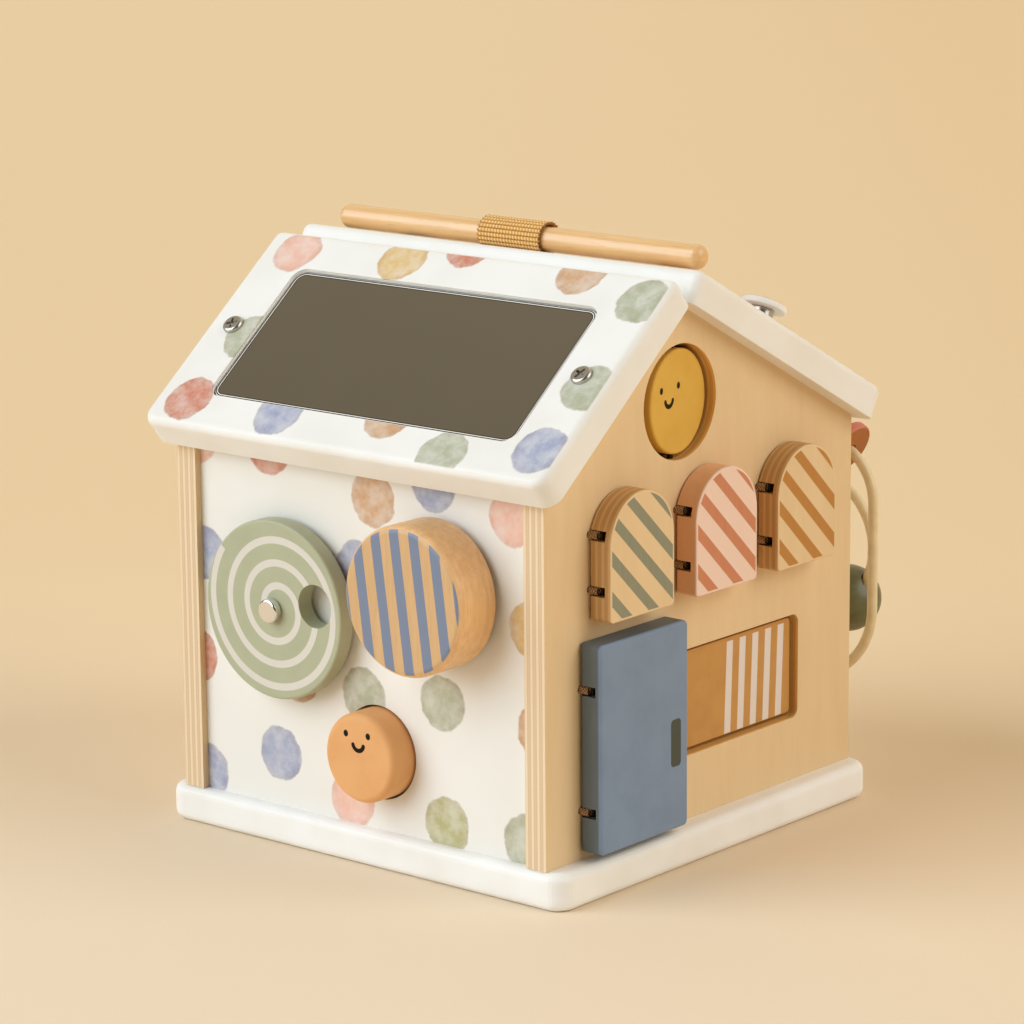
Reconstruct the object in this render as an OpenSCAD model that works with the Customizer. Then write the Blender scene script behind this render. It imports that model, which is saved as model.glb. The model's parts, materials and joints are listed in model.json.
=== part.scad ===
// Wooden activity house on a base board: two dials and a push button on the front wall,
// a turning sun, three shutters, a door and a sliding window on the right gable,
// a mirror and a beater rod on the roof, and a two-wire bead frame behind.
// Lengths are millimetres. The origin is on the floor, in the middle of the four walls, +Z is up,
// the dial wall faces -Y, the shutter wall faces +X and the ridge runs along X.

/* [Base board] */
// How far the base reaches past each gable
base_side = 9.5; // [6:0.5:20]
// How far the base reaches past the gables' front edges
base_front = 2; // [0.5:0.5:11]
// How far the base reaches past the gables' back edges
base_back = 4; // [0.5:0.5:11]
// Thickness of the base
base_h = 16; // [14:0.5:22]
// Radius of the base's corners in plan
base_corner_r = 9; // [5:0.5:14]
// Rounding of the base's upper and lower edges
base_edge_r = 4; // [1:0.5:6]

/* [Walls] */
// Width over the two gables
wall_w = 200; // [196:1:206]
// Depth of the gables from front to back
wall_d = 208; // [200:1:208]
// Height of the walls from the base to the eaves
wall_h = 153; // [150:1:170]
// Thickness of the gable plywood
ply_t = 10.5; // [9:0.5:12]
// Thickness of the front and back panels
panel_t = 10; // [9:0.5:12]
// How far the panels lie behind the gables' edges
panel_recess = 3.2; // [1:0.2:5]
// Gap between the panels' upper edge and the roof
panel_roof_gap = 0.6; // [0.3:0.1:2]

/* [Roof] */
// How far the roof boards reach past each gable
roof_side = 9; // [6:0.5:20]
// Thickness of the roof boards
roof_t = 14.6; // [12:0.1:18]
// Ridge position from the middle of the house, negative to the front
ridge_y = -20.5; // [-30:0.5:0]
// Rise of the ridge above the eaves
ridge_rise = 66.5; // [60:0.5:80]
// Overhang of the front roof past the gable edge, level
front_overhang = 4; // [2:0.5:10]
// Overhang of the back roof past the gable edge, level
back_overhang = 4; // [1:0.5:8]
// Radius of the front eave's corners in plan
eave_corner_r = 7; // [5:0.5:12]
// Radius of the roof boards' other corners in plan
roof_corner_r = 4; // [4:0.5:10]
// Rounding of the roof boards' upper edges
roof_edge_r = 3.5; // [1:0.5:4]

/* [Roof mirror] */
// Width of the mirror along the ridge
mirror_w = 165; // [120:1:170]
// Height of the mirror down the slope
mirror_d = 73; // [50:1:78]
// Mirror's middle below the middle of the slope
mirror_down = 1; // [-3:0.5:3]
// Thickness of the mirror sheet
mirror_t = 2; // [1.5:0.1:3]
// Corner radius of the mirror
mirror_r = 6; // [4:0.5:15]
// Depth of the mirror's face below the roof
mirror_set = 1.4; // [0.5:0.1:2.5]
// Clearance round the mirror
mirror_gap = 0.3; // [0.1:0.1:0.8]

/* [Beater rod and strap] */
// Diameter of the beater rod
rod_d = 10.4; // [9:0.1:13]
// Length of the beater rod
rod_l = 196.5; // [150:0.5:210]
// Middle of the rod along the ridge
rod_x = 3.7; // [-5:0.1:6]
// Distance of the rod from the ridge edge, down the back slope
rod_down = 8.5; // [8:0.1:14]
// Width of the elastic strap
strap_w = 33; // [20:1:45]
// Thickness of the elastic strap
strap_t = 1.8; // [1:0.1:2]
// Clearance between the strap and the rod
strap_gap = 0.3; // [0.2:0.05:0.5]
// Length of the strap's tail inside the roof
strap_tail = 12; // [8:0.5:16]

/* [Roof spinner] */
// Diameter of the spinner disc
spinner_d = 20; // [18:0.5:34]
// Thickness of the spinner disc
spinner_t = 3; // [3:0.5:8]
// Spinner position along the ridge
spinner_x = 78; // [40:1:80]
// Spinner position down the back slope
spinner_down = 88; // [40:1:110]
// Height of the spinner's underside above the roof
spinner_lift = 12; // [8:0.5:20]
// Diameter of the spinner's post
post_d = 10; // [8:0.5:14]
// Depth of the post's socket in the roof
post_socket = 8; // [5:0.5:10]

/* [Spiral dial] */
// Diameter of the spiral dial
dial_d = 76; // [60:1:80]
// Thickness of the spiral dial
dial_t = 8; // [6:0.5:10]
// Dial centre from the middle of the wall
dial_x = -39.8; // [-46:0.2:-39]
// Dial centre above the floor
dial_z = 103.8; // [95:0.2:115]
// Diameter of the finger hole
finger_d = 18.4; // [15:0.2:20]
// Distance of the finger hole from the dial's centre
finger_r = 24.2; // [20:0.2:25]
// Direction of the finger hole from the dial's centre
finger_a = 12; // [0:1:359]
// Thickness of the spacer behind the dial
dial_spacer_t = 2; // [1:0.1:4]
// Diameter of the dial's spindle
spindle_d = 6; // [5:0.2:8]
// Diameter of the spindle's flat cap
spindle_cap_d = 10.2; // [8:0.2:14]

/* [Striped knob] */
// Diameter of the striped knob
knob_d = 62; // [40:1:64]
// Thickness of the striped knob
knob_t = 22; // [12:0.5:28]
// Knob centre from the middle of the wall
knob_x = 44.3; // [40:0.1:50]
// Knob centre above the floor
knob_z = 122.6; // [110:0.2:130]
// Rounding of the knob's front edge
knob_edge_r = 3; // [1:0.5:6]
// Thickness of the spacer behind the knob
knob_spacer_t = 2.6; // [1:0.1:4]
// Diameter of the knob's axle
axle_d = 12; // [8:0.5:16]

/* [Push button] */
// Diameter of the button
button_d = 38; // [28:0.5:40]
// Clearance round the button in its hole
button_gap = 1; // [0.4:0.1:1.5]
// How far the button stands out of the wall
button_out = 13; // [11:0.5:18]
// Travel of the button
button_travel = 10; // [4:0.5:10]
// Button centre from the middle of the wall
button_x = 9; // [0:0.2:20]
// Button centre above the floor
button_z = 49; // [46:0.2:55]
// Rounding of the button's front edge
button_edge_r = 3; // [1:0.5:5]
// Thickness of the button's inner flange
flange_t = 4; // [3:0.5:6]
// How much wider the flange is than the button, on each side
flange_out = 4; // [3:0.5:6]

/* [Sun] */
// Diameter of the round window
sun_hole_d = 48; // [40:0.5:52]
// Gap between the sun and its window
sun_gap = 2.3; // [1.5:0.1:4]
// Thickness of the sun
sun_t = 8; // [5:0.5:8]
// Sun centre from the middle of the wall
sun_y = -16.5; // [-24:0.5:-8]
// Sun centre above the floor
sun_z = 193.5; // [190:0.5:198]
// Turn of the sun in its window
sun_turn = 7; // [0:1:20]
// Diameter of the sun's pin
sun_pin_d = 2.4; // [2:0.1:3]

/* [Shutters and door] */
// Width of a shutter
shutter_w = 41.5; // [34:0.5:46]
// Height of a shutter to the top of its arch
shutter_h = 51; // [46:0.5:60]
// Radius of the shutters' lower corners
shutter_r = 2; // [0.5:0.5:4]
// Height of the shutters' lower edge above the floor
shutter_z = 114.3; // [112:0.1:120]
// Distance from shutter to shutter
shutter_pitch = 56; // [52:0.5:58]
// Thickness of the shutters and the door
leaf_t = 11; // [10:0.5:14]
// Gap between the leaves and the wall
leaf_gap = 0.6; // [0.4:0.1:1.5]
// Width of the door
door_w = 57; // [45:0.5:62]
// Height of the door
door_h = 87; // [70:0.5:90]
// Height of the door's lower edge above the base
door_gap = 3.4; // [1:0.1:6]
// Door's hinge edge from the middle of the wall
door_y = -83; // [-88:0.5:-80]
// Corner radius of the door
door_r = 2.5; // [1:0.5:8]
// Diameter of the hinge pins
hinge_pin_d = 2; // [1.6:0.1:3]
// Diameter of the hinge cord
hinge_cord_d = 2.8; // [2.4:0.1:3.6]
// Clearance between the hinge cord, its pin and its notch
hinge_gap = 0.4; // [0.2:0.05:0.6]
// Hinge pin behind the leaf's hinge edge
hinge_in = 3.5; // [3:0.1:5]
// Hinge pin from the leaf's back face
hinge_back = 4; // [3.6:0.1:5]
// Rounding of the leaf's edge at the hinge
hinge_edge_r = 3; // [2.6:0.1:3.4]
// Lower hinge of the shutters above their lower edge
shutter_hinge_low = 12.4; // [8:0.1:16]
// Upper hinge of the shutters above their lower edge
shutter_hinge_high = 35; // [28:0.1:36]
// Lower hinge of the door above its lower edge
door_hinge_low = 17.1; // [10:0.1:25]
// Upper hinge of the door above its lower edge
door_hinge_high = 67.6; // [55:0.1:70]

/* [Sliding window] */
// Length of the window opening
window_w = 132; // [110:1:136]
// Height of the window opening
window_h = 45.6; // [36:0.2:48]
// Middle of the opening above the floor
window_z = 66.2; // [64:0.2:72]
// Corner radius of the opening
window_r = 4; // [3:0.5:10]
// Length of the sliding panel
slide_w = 96; // [70:1:100]
// Gap round the sliding panel in its opening
slide_gap = 2; // [1:0.1:3]
// Depth of the panel's face behind the wall's face
slide_set = 3; // [1:0.2:5]
// Thickness of the runner behind the panel
runner_t = 4; // [3:0.2:6]
// How far the runner reaches past the panel all round
runner_out = 5; // [4:0.2:8]
// Running clearance of the runner in its rails
runner_gap = 0.4; // [0.2:0.05:0.8]
// Thickness of the rails
rail_t = 4; // [3:0.2:6]

/* [Bead frame] */
// Diameter of the coated wire
wire_d = 4.5; // [3:0.1:5]
// Bend radius of the wires' feet
foot_bend_r = 12; // [8:0.5:14]
// Depth of the feet in the back panel
foot_in = 7; // [5:0.5:8]
// Near wire from the back panel's face
near_wire_out = 27; // [24:0.5:32]
// Upright of the near wire from the middle of the wall
near_wire_x = 95.4; // [80:0.2:97]
// Lower run of the near wire above the floor
near_wire_low = 43.5; // [40:0.5:60]
// Straight length of the near wire's upright
near_upright = 47; // [40:0.5:50]
// Radius of the near wire's lower bend
near_low_r = 34; // [20:0.5:36]
// Radius of the near wire's upper bend
near_top_r = 27; // [22:0.5:30]
// Feet of the near wire from the middle of the wall
near_wire_foot = 16; // [0:1:30]
// Far wire from the back panel's face
far_wire_out = 47; // [44:0.5:60]
// Outermost place of the far wire from the middle of the wall
far_wire_x = 81.7; // [68:0.1:84]
// Lower run of the far wire above the floor
far_wire_low = 66.9; // [60:0.1:70]
// Radius of the far wire's half round
far_bend_r = 31.5; // [28:0.5:33]
// Feet of the far wire from the middle of the wall
far_wire_foot = -10; // [-30:1:10]
// Diameter of the round bead
ball_d = 30; // [24:0.2:32]
// Diameter of the round bead's bore
ball_bore_d = 9; // [8.4:0.1:10]
// Place of the round bead round the far wire, below the middle
ball_a = 52.4; // [40:0.2:60]
// Diameter of the disc bead
disc_bead_d = 25; // [16:0.5:26]
// Thickness of the disc bead
disc_bead_t = 5; // [4:0.5:8]
// Clearance between the disc bead and its wire
disc_bead_gap = 0.7; // [0.5:0.05:0.9]
// Place of the disc bead round the near wire's upper bend
disc_bead_a = 28; // [12:1:40]

/* [Fasteners] */
// Shank diameter of the wood screws
screw_d = 4; // [3:0.1:4.6]
// Head diameter of the roof screws
roof_head_d = 9.2; // [8:0.1:11]
// Length of a roof screw in the gable
roof_screw_l = 22; // [14:0.5:24]
// Length of a base screw in the wall
base_screw_l = 24; // [14:0.5:26]
// Diameter of the wall dowels
dowel_d = 6; // [5:0.1:7]
// Length of a dowel in the panel
dowel_in_panel = 17; // [10:0.5:20]
// Length of a dowel in the gable
dowel_in_gable = 7; // [5:0.5:8]
// Clearance of pins, screws and dowels in their bores
bore_gap = 0.05; // [0.02:0.01:0.1]

/* [Hidden] */
$fn = 64;

// Colours
white_paint = [0.97, 0.96, 0.93];
birch = [0.86, 0.71, 0.51];
beech = [0.89, 0.70, 0.46];
steel = [0.75, 0.75, 0.76];
cord_brown = [0.35, 0.23, 0.13];
cream_coat = [0.89, 0.81, 0.63];
mirror_grey = [0.45, 0.45, 0.40];
sage_green = [0.71, 0.72, 0.58];
button_orange = [0.90, 0.67, 0.43];
cup_white = [0.93, 0.92, 0.88];
mustard = [0.82, 0.62, 0.24];
striped_grey = [0.80, 0.70, 0.53];
striped_pink = [0.92, 0.72, 0.62];
striped_tan = [0.83, 0.66, 0.42];
slate_blue = [0.48, 0.55, 0.59];
caramel = [0.75, 0.49, 0.24];
bead_green = [0.35, 0.37, 0.25];
bead_orange = [0.71, 0.43, 0.20];

// Facets of the rounded boards and overshoot of the cuts
corner_fn = 32;
round_steps = 5;
cut = 1;

// House outline
base_w = wall_w + 2*base_side;
base_d = wall_d + base_front + base_back;
base_y = (base_back - base_front)/2;
roof_w = wall_w + 2*roof_side;
half_w = wall_w/2;
half_d = wall_d/2;
eave_z = base_h + wall_h;
ridge_z = eave_z + ridge_rise;
front_run = half_d + ridge_y;
back_run = half_d - ridge_y;
front_pitch = atan(ridge_rise/front_run);
back_pitch = atan(ridge_rise/back_run);
front_len = (front_run + front_overhang)/cos(front_pitch);
back_len = (back_run + back_overhang)/cos(back_pitch);
inner_x = half_w - ply_t;
front_face = -half_d + panel_recess;
back_face = half_d - panel_recess;
front_panel_top = eave_z + panel_recess*tan(front_pitch) - panel_roof_gap;
back_panel_top = eave_z + panel_recess*tan(back_pitch) - panel_roof_gap;
roof_lower_r = 0.4;

// Fasteners
gable_mid = half_w - ply_t/2;
front_panel_mid = front_face + panel_t/2;
back_panel_mid = back_face - panel_t/2;
roof_screw_s = [front_len/2, back_len/2];
roof_head_h = 2.8;
sink_d = 8.4;
sink_h = 2.4;
base_screw_inset = 34;
base_gable_y = half_d - base_screw_inset;
base_panel_x = 50;
base_screw_spots = concat(
  [for (x = [-gable_mid, gable_mid], y = [-base_gable_y, base_gable_y]) [x, y]],
  [for (x = [-base_panel_x, base_panel_x], y = [front_panel_mid, back_panel_mid]) [x, y]]);
dowel_end_gap = 0.5;
dowel_low = 14;
dowel_high = 18;
dowel_z = [base_h + dowel_low, base_h + wall_h/2, eave_z - dowel_high];

// Dials
washer_d = 22;
washer_t = 2;
nut_af = 10;
nut_t = 5;
running_gap = 0.3;
spindle_cap_h = 3.6;
spindle_cap_r = 1;
spindle_under_r = 0.4;
dial_edge_r = 1.2;
dial_face = dial_spacer_t + running_gap + dial_t;
knob_front_t = 8;
knob_back_r = 1;
knob_socket = knob_t - knob_front_t;
knob_back = knob_spacer_t + running_gap;
retainer_d = 24;
retainer_t = 3;
retainer_screw_d = 3.5;
retainer_screw_l = 14;

// Push button
button_hole_d = button_d + 2*button_gap;
flange_d = button_d + 2*flange_out;
flange_front = panel_t + running_gap;
housing_gap = 0.5;
housing_wall = 4;
housing_d = flange_d + 2*housing_gap + 2*housing_wall;
spring_room = 14;
housing_depth = flange_front + flange_t + button_travel + spring_room;
housing_ear_out = 6;
housing_screw_r = housing_d/2 + housing_ear_out;
housing_ears = 3;
housing_ear_d = 11;
housing_ear_t = 4;
housing_screw_d = 3;
spring_r = 8;
spring_wire = 1.4;
spring_turns = 6;
spring_seat = 5;
spring_sides = 6;
spring_rings = 8;
button_back_r = 0.5;

// Sun
sun_d = sun_hole_d - 2*sun_gap;
sun_pin_seat = 8;
sun_edge_r = 1;

// Hinged leaves
leaf_x = half_w + leaf_gap;
hinge_x = leaf_x + hinge_back;
cord_bend_r = hinge_pin_d/2 + hinge_gap/2 + hinge_cord_d/2;
cord_reach = cord_bend_r + hinge_cord_d/2;
notch_gap = 0.7;
notch_h = hinge_cord_d + 2*notch_gap;
notch_r = cord_reach + hinge_gap;
cord_in_wall = 7;
hinge_end_gap = 0.5;
pin_end = 3;
door_pin_end = 9;
shutter_left = [for (i = [-1, 0, 1]) i*shutter_pitch - shutter_w/2];
shutter_hinge_z = [shutter_z + shutter_hinge_low, shutter_z + shutter_hinge_high];
shutter_pin_top = shutter_z + shutter_hinge_high + notch_h/2 + pin_end;
door_z = base_h + door_gap;
door_hinge_z = [door_z + door_hinge_low, door_z + door_hinge_high];
door_pin_top = door_z + door_hinge_high + notch_h/2 + door_pin_end;

// Sliding window
slide_h = window_h - 2*slide_gap;
slide_y = window_w/2 - slide_gap - slide_w/2;
slide_travel = window_w - 2*slide_gap - slide_w;
slide_r = window_r - slide_gap;
runner_x = inner_x - runner_gap;
runner_w = slide_w + 2*runner_out;
runner_h = slide_h + 2*runner_out;
rail_over = 2;
rail_w = window_w + 2*runner_out + 2*rail_over;
rail_lip = 3;
rail_depth = runner_t + 2*runner_gap;
rail_foot = 9;
rail_screw_in = 8;
rail_screw_y = rail_w/2 - rail_screw_in;
rail_screw_l = 6;
rail_screw_d = 3;
rail_head_d = 6;

// Bead frame
bead_edge_r = 1.4;
disc_bore_d = wire_d + 2*disc_bead_gap;
near_wire_y = back_face + near_wire_out;
far_wire_y = back_face + far_wire_out;
near_wire_top = near_wire_low + near_low_r + near_upright + near_top_r;
far_wire_top = far_wire_low + 2*far_bend_r;
disc_bead_bend = [near_wire_x - near_top_r, near_wire_y, near_wire_top - near_top_r];
ball_bend = [far_wire_x - far_bend_r, far_wire_y, far_wire_low + far_bend_r];
ball_half_bore = sqrt(ball_d*ball_d - ball_bore_d*ball_bore_d)/2;
ball_r = (far_bend_r + sqrt(far_bend_r*far_bend_r - ball_half_bore*ball_half_bore))/2;

// Rod, strap and spinner
rod_r = rod_d/2;
rod_end_r = 0.8*rod_r;
loop_r = rod_r + strap_gap;
rod_h = roof_t + strap_t + loop_r;
slot_gap = 0.3;
staple_d = 1.2;
staple_l = 10;
spinner_pin_d = 3;
spinner_cap_d = 7;
spinner_cap_h = 2.4;
spinner_pin_l = 9;
spinner_edge_r = 1.4;
spinner_back_r = 0.6;

// A quarter round from angle a0 to a0 + 90, centred on c
function arc(c, r, a0) = [for (i = [0:round_steps])
  let (a = a0 + 90*i/round_steps) c + r*[cos(a), sin(a)]];

module round_rect(w, d, r) {
  square([w - 2*r, d], center = true);
  square([w, d - 2*r], center = true);
  for (x = [-1, 1], y = [-1, 1]) translate([x*(w/2 - r), y*(d/2 - r)]) circle(r);
}

// A board lying on z = 0 with rounded corners, of two radii front and back, and rounded edges
module rounded_board(w, d, h, front_r, back_r, upper_r, lower_r) {
  hull() for (x = [-1, 1], y = [-1, 1]) let (r = y < 0 ? front_r : back_r)
    translate([x*(w/2 - r), y*(d/2 - r), 0]) rotate_extrude($fn = corner_fn)
      polygon(concat([[0, 0]], arc([r - lower_r, lower_r], lower_r, -90),
        arc([r - upper_r, h - upper_r], upper_r, 0), [[0, h]]));
}

// A turned disc standing on z = 0 with rounded rims
module turned_disc(d, t, upper_r, lower_r) {
  rotate_extrude() {
    translate([0, lower_r]) square([d/2, t - upper_r - lower_r]);
    translate([0, t - upper_r]) square([d/2 - upper_r, upper_r]);
    square([d/2 - lower_r, lower_r]);
    translate([d/2 - upper_r, t - upper_r]) circle(upper_r);
    translate([d/2 - lower_r, lower_r]) circle(lower_r);
  }
}

// A low dome standing on z = 0
module dome(d, h) {
  ball_r = (d*d/4 + h*h)/(2*h);
  intersection() {
    translate([0, 0, h - ball_r]) sphere(ball_r);
    cylinder(d = d, h = h);
  }
}

// A countersunk screw pointing to +z with its head's face on z = 0
module flat_screw(d, l, head_d, head_h) {
  cylinder(d1 = head_d, d2 = d, h = head_h);
  cylinder(d = d, h = l);
}

module on_front_roof(s, h) {
  translate([0, ridge_y, ridge_z]) rotate([front_pitch, 0, 0]) translate([0, -s, h]) children();
}

module on_back_roof(s, h) {
  translate([0, ridge_y, ridge_z]) rotate([-back_pitch, 0, 0]) translate([0, s, h]) children();
}

// Drawings on the front wall: x stays, y goes up and heights stand out of the wall
module on_front_wall(out) {
  translate([0, front_face - out, 0]) rotate([90, 0, 0]) children();
}

// Drawings on the right wall: x goes back, y goes up and heights point to +X
module on_side(x) {
  translate([x, 0, 0]) rotate([90, 0, 90]) children();
}

module gable_outline() {
  polygon([[-half_d, base_h], [half_d, base_h], [half_d, eave_z], [ridge_y, ridge_z], [-half_d, eave_z]]);
}

// Shanks of the screws that hold the roof and the base
module roof_shanks(d, l) {
  for (x = [-gable_mid, gable_mid]) {
    on_front_roof(roof_screw_s[0], roof_t - l) translate([x, 0, 0]) cylinder(d = d, h = l);
    on_back_roof(roof_screw_s[1], roof_t - l) translate([x, 0, 0]) cylinder(d = d, h = l);
  }
}

module base_shanks(d) {
  for (spot = base_screw_spots) translate(spot) cylinder(d = d, h = base_h + base_screw_l);
}

module dowels(d, end_gap) {
  for (x = [-1, 1], y = [front_panel_mid, back_panel_mid], z = dowel_z)
    translate([x*(inner_x - dowel_in_panel - end_gap), y, z]) rotate([0, 90*x, 0])
      cylinder(d = d, h = dowel_in_panel + dowel_in_gable + 2*end_gap);
}

module wall_bores() {
  roof_shanks(screw_d + 2*bore_gap, roof_t + roof_screw_l);
  base_shanks(screw_d + 2*bore_gap);
  dowels(dowel_d + 2*bore_gap, dowel_end_gap);
}

module base_board() {
  color(white_paint) difference() {
    translate([0, base_y, 0])
      rounded_board(base_w, base_d, base_h, base_corner_r, base_corner_r, base_edge_r, base_edge_r);
    base_shanks(screw_d + 2*bore_gap);
    for (spot = base_screw_spots) translate(spot)
      cylinder(d1 = sink_d + 2*bore_gap, d2 = screw_d + 2*bore_gap, h = sink_h);
  }
}

module left_gable() {
  color(birch) difference() {
    on_side(-half_w) linear_extrude(ply_t) gable_outline();
    wall_bores();
  }
}

module right_gable() {
  color(birch) difference() {
    on_side(inner_x) linear_extrude(ply_t) gable_outline();
    wall_bores();
    on_side(inner_x - cut) translate([sun_y, sun_z, 0]) cylinder(d = sun_hole_d, h = ply_t + 2*cut);
    on_side(inner_x - cut) translate([0, window_z, 0])
      linear_extrude(ply_t + 2*cut) round_rect(window_w, window_h, window_r);
    translate([gable_mid, sun_y, sun_z - sun_hole_d/2 - sun_pin_seat])
      cylinder(d = sun_pin_d + 2*bore_gap, h = sun_hole_d + sun_pin_seat + roof_t + ridge_rise);
    for (edge = shutter_left, z = shutter_hinge_z) cord_bores(edge, z);
    for (z = door_hinge_z) cord_bores(door_y, z);
    for (y = [-rail_screw_y, rail_screw_y], side = [-1, 1])
      rail_screw_at(y, side, rail_screw_d + 2*bore_gap, 0);
  }
}

module cord_bores(edge, z) {
  for (side = [-1, 1])
    translate([half_w - cord_in_wall, edge + hinge_in + side*cord_bend_r, z])
      rotate([0, 90, 0]) cylinder(d = hinge_cord_d + 2*bore_gap, h = cord_in_wall + cut);
}

module front_panel() {
  color(white_paint) difference() {
    on_front_wall(-panel_t) translate([-inner_x, base_h, 0])
      cube([2*inner_x, front_panel_top - base_h, panel_t]);
    base_shanks(screw_d + 2*bore_gap);
    dowels(dowel_d + 2*bore_gap, dowel_end_gap);
    on_front_wall(-panel_t - cut) {
      translate([dial_x, dial_z, 0]) cylinder(d = spindle_d + 2*bore_gap, h = panel_t + 2*cut);
      translate([knob_x, knob_z, 0]) cylinder(d = axle_d + 2*bore_gap, h = panel_t + 2*cut);
      translate([button_x, button_z, 0]) cylinder(d = button_hole_d, h = panel_t + 2*cut);
    }
    housing_screws(housing_screw_d + 2*bore_gap, 0);
  }
}

module back_panel() {
  color(white_paint) difference() {
    translate([-inner_x, back_face - panel_t, base_h]) cube([2*inner_x, panel_t, back_panel_top - base_h]);
    base_shanks(screw_d + 2*bore_gap);
    dowels(dowel_d + 2*bore_gap, dowel_end_gap);
    for (spot = [[near_wire_foot, near_wire_top], [near_wire_foot, near_wire_low],
                 [far_wire_foot, far_wire_top], [far_wire_foot, far_wire_low]])
      translate([spot[0], back_face - foot_in, spot[1]]) rotate([-90, 0, 0])
        cylinder(d = wire_d + 2*bore_gap, h = foot_in + cut);
  }
}

module front_roof() {
  color(white_paint) difference() {
    on_front_roof(front_len/2, 0)
      rounded_board(roof_w, front_len, roof_t, eave_corner_r, roof_corner_r, roof_edge_r, roof_lower_r);
    on_front_roof(front_len/2 + mirror_down, roof_t - mirror_set - mirror_t)
      linear_extrude(mirror_set + mirror_t + cut)
        round_rect(mirror_w + 2*mirror_gap, mirror_d + 2*mirror_gap, mirror_r + mirror_gap);
    roof_shanks(screw_d + 2*bore_gap, roof_t + roof_screw_l);
  }
}

module back_roof() {
  color(white_paint) difference() {
    on_back_roof(back_len/2, 0)
      rounded_board(roof_w, back_len, roof_t, roof_corner_r, roof_corner_r, roof_edge_r, roof_lower_r);
    roof_shanks(screw_d + 2*bore_gap, roof_t + roof_screw_l);
    on_back_roof(rod_down, roof_t - strap_tail) translate([rod_x, 0, 0]) linear_extrude(strap_tail + cut)
      square([strap_w + 2*slot_gap, 2*strap_t + 2*slot_gap], center = true);
    on_back_roof(spinner_down, roof_t - post_socket) translate([spinner_x, 0, 0])
      cylinder(d = post_d + 2*bore_gap, h = post_socket + cut);
    strap_staple_wires(staple_d + 2*bore_gap, bore_gap);
  }
}

module roof_mirror() {
  color(mirror_grey) on_front_roof(front_len/2 + mirror_down, roof_t - mirror_set - mirror_t)
    linear_extrude(mirror_t) round_rect(mirror_w, mirror_d, mirror_r);
}

module roof_screws() {
  color(steel) {
    roof_shanks(screw_d, roof_t + roof_screw_l - cut);
    for (x = [-gable_mid, gable_mid]) {
      on_front_roof(roof_screw_s[0], roof_t) translate([x, 0, 0]) dome(roof_head_d, roof_head_h);
      on_back_roof(roof_screw_s[1], roof_t) translate([x, 0, 0]) dome(roof_head_d, roof_head_h);
    }
  }
}

module base_screws() {
  color(steel) for (spot = base_screw_spots) translate(spot)
    flat_screw(screw_d, base_h + base_screw_l - cut, sink_d, sink_h);
}

module wall_dowels() {
  color(beech) dowels(dowel_d, 0);
}

module spiral_dial() {
  color(sage_green) on_front_wall(dial_spacer_t + running_gap) translate([dial_x, dial_z, 0])
    difference() {
      turned_disc(dial_d, dial_t, dial_edge_r, dial_edge_r);
      translate([0, 0, -cut]) cylinder(d = spindle_d + 2*bore_gap, h = dial_t + 2*cut);
      rotate(finger_a) translate([finger_r, 0, -cut]) cylinder(d = finger_d, h = dial_t + 2*cut);
    }
}

module dial_spindle() {
  color(steel) on_front_wall(-panel_t - washer_t - nut_t - cut) translate([dial_x, dial_z, 0]) {
    spindle_l = panel_t + washer_t + nut_t + cut + dial_face + running_gap;
    cylinder(d = spindle_d, h = spindle_l);
    translate([0, 0, spindle_l]) turned_disc(spindle_cap_d, spindle_cap_h, spindle_cap_r, spindle_under_r);
  }
}

module dial_spacer() {
  color(beech) on_front_wall(0) translate([dial_x, dial_z, 0]) difference() {
    cylinder(d = washer_d, h = dial_spacer_t);
    translate([0, 0, -cut]) cylinder(d = spindle_d + 2*bore_gap, h = dial_spacer_t + 2*cut);
  }
}

module dial_nut() {
  color(steel) on_front_wall(-panel_t - washer_t - nut_t) translate([dial_x, dial_z, 0]) difference() {
    union() {
      cylinder(d = nut_af/cos(30), h = nut_t, $fn = 6);
      translate([0, 0, nut_t]) cylinder(d = washer_d, h = washer_t);
    }
    translate([0, 0, -cut]) cylinder(d = spindle_d + 2*bore_gap, h = nut_t + washer_t + 2*cut);
  }
}

module striped_knob() {
  color(beech) on_front_wall(knob_back) translate([knob_x, knob_z, 0]) difference() {
    turned_disc(knob_d, knob_t, knob_edge_r, knob_back_r);
    translate([0, 0, -cut]) cylinder(d = axle_d + 2*bore_gap, h = knob_socket + cut);
  }
}

module knob_axle() {
  axle_l = panel_t + running_gap + knob_back + knob_socket - running_gap;
  color(beech) on_front_wall(-panel_t - running_gap) translate([knob_x, knob_z, 0]) difference() {
    cylinder(d = axle_d, h = axle_l);
    translate([0, 0, -cut]) cylinder(d = retainer_screw_d + 2*bore_gap, h = retainer_screw_l + cut);
  }
}

module knob_spacer() {
  color(beech) on_front_wall(0) translate([knob_x, knob_z, 0]) difference() {
    cylinder(d = retainer_d, h = knob_spacer_t);
    translate([0, 0, -cut]) cylinder(d = axle_d + 2*bore_gap, h = knob_spacer_t + 2*cut);
  }
}

module knob_retainer() {
  color(steel) on_front_wall(-panel_t - running_gap - retainer_t) translate([knob_x, knob_z, 0])
    difference() {
      cylinder(d = retainer_d, h = retainer_t);
      translate([0, 0, -cut]) cylinder(d = retainer_screw_d + 2*bore_gap, h = retainer_t + 2*cut);
    }
}

module knob_retainer_screw() {
  color(steel) on_front_wall(-panel_t - running_gap - retainer_t) translate([knob_x, knob_z, 0]) {
    cylinder(d = retainer_screw_d, h = retainer_t + retainer_screw_l - cut);
    mirror([0, 0, 1]) dome(2*retainer_screw_d, retainer_screw_d/2);
  }
}

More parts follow.
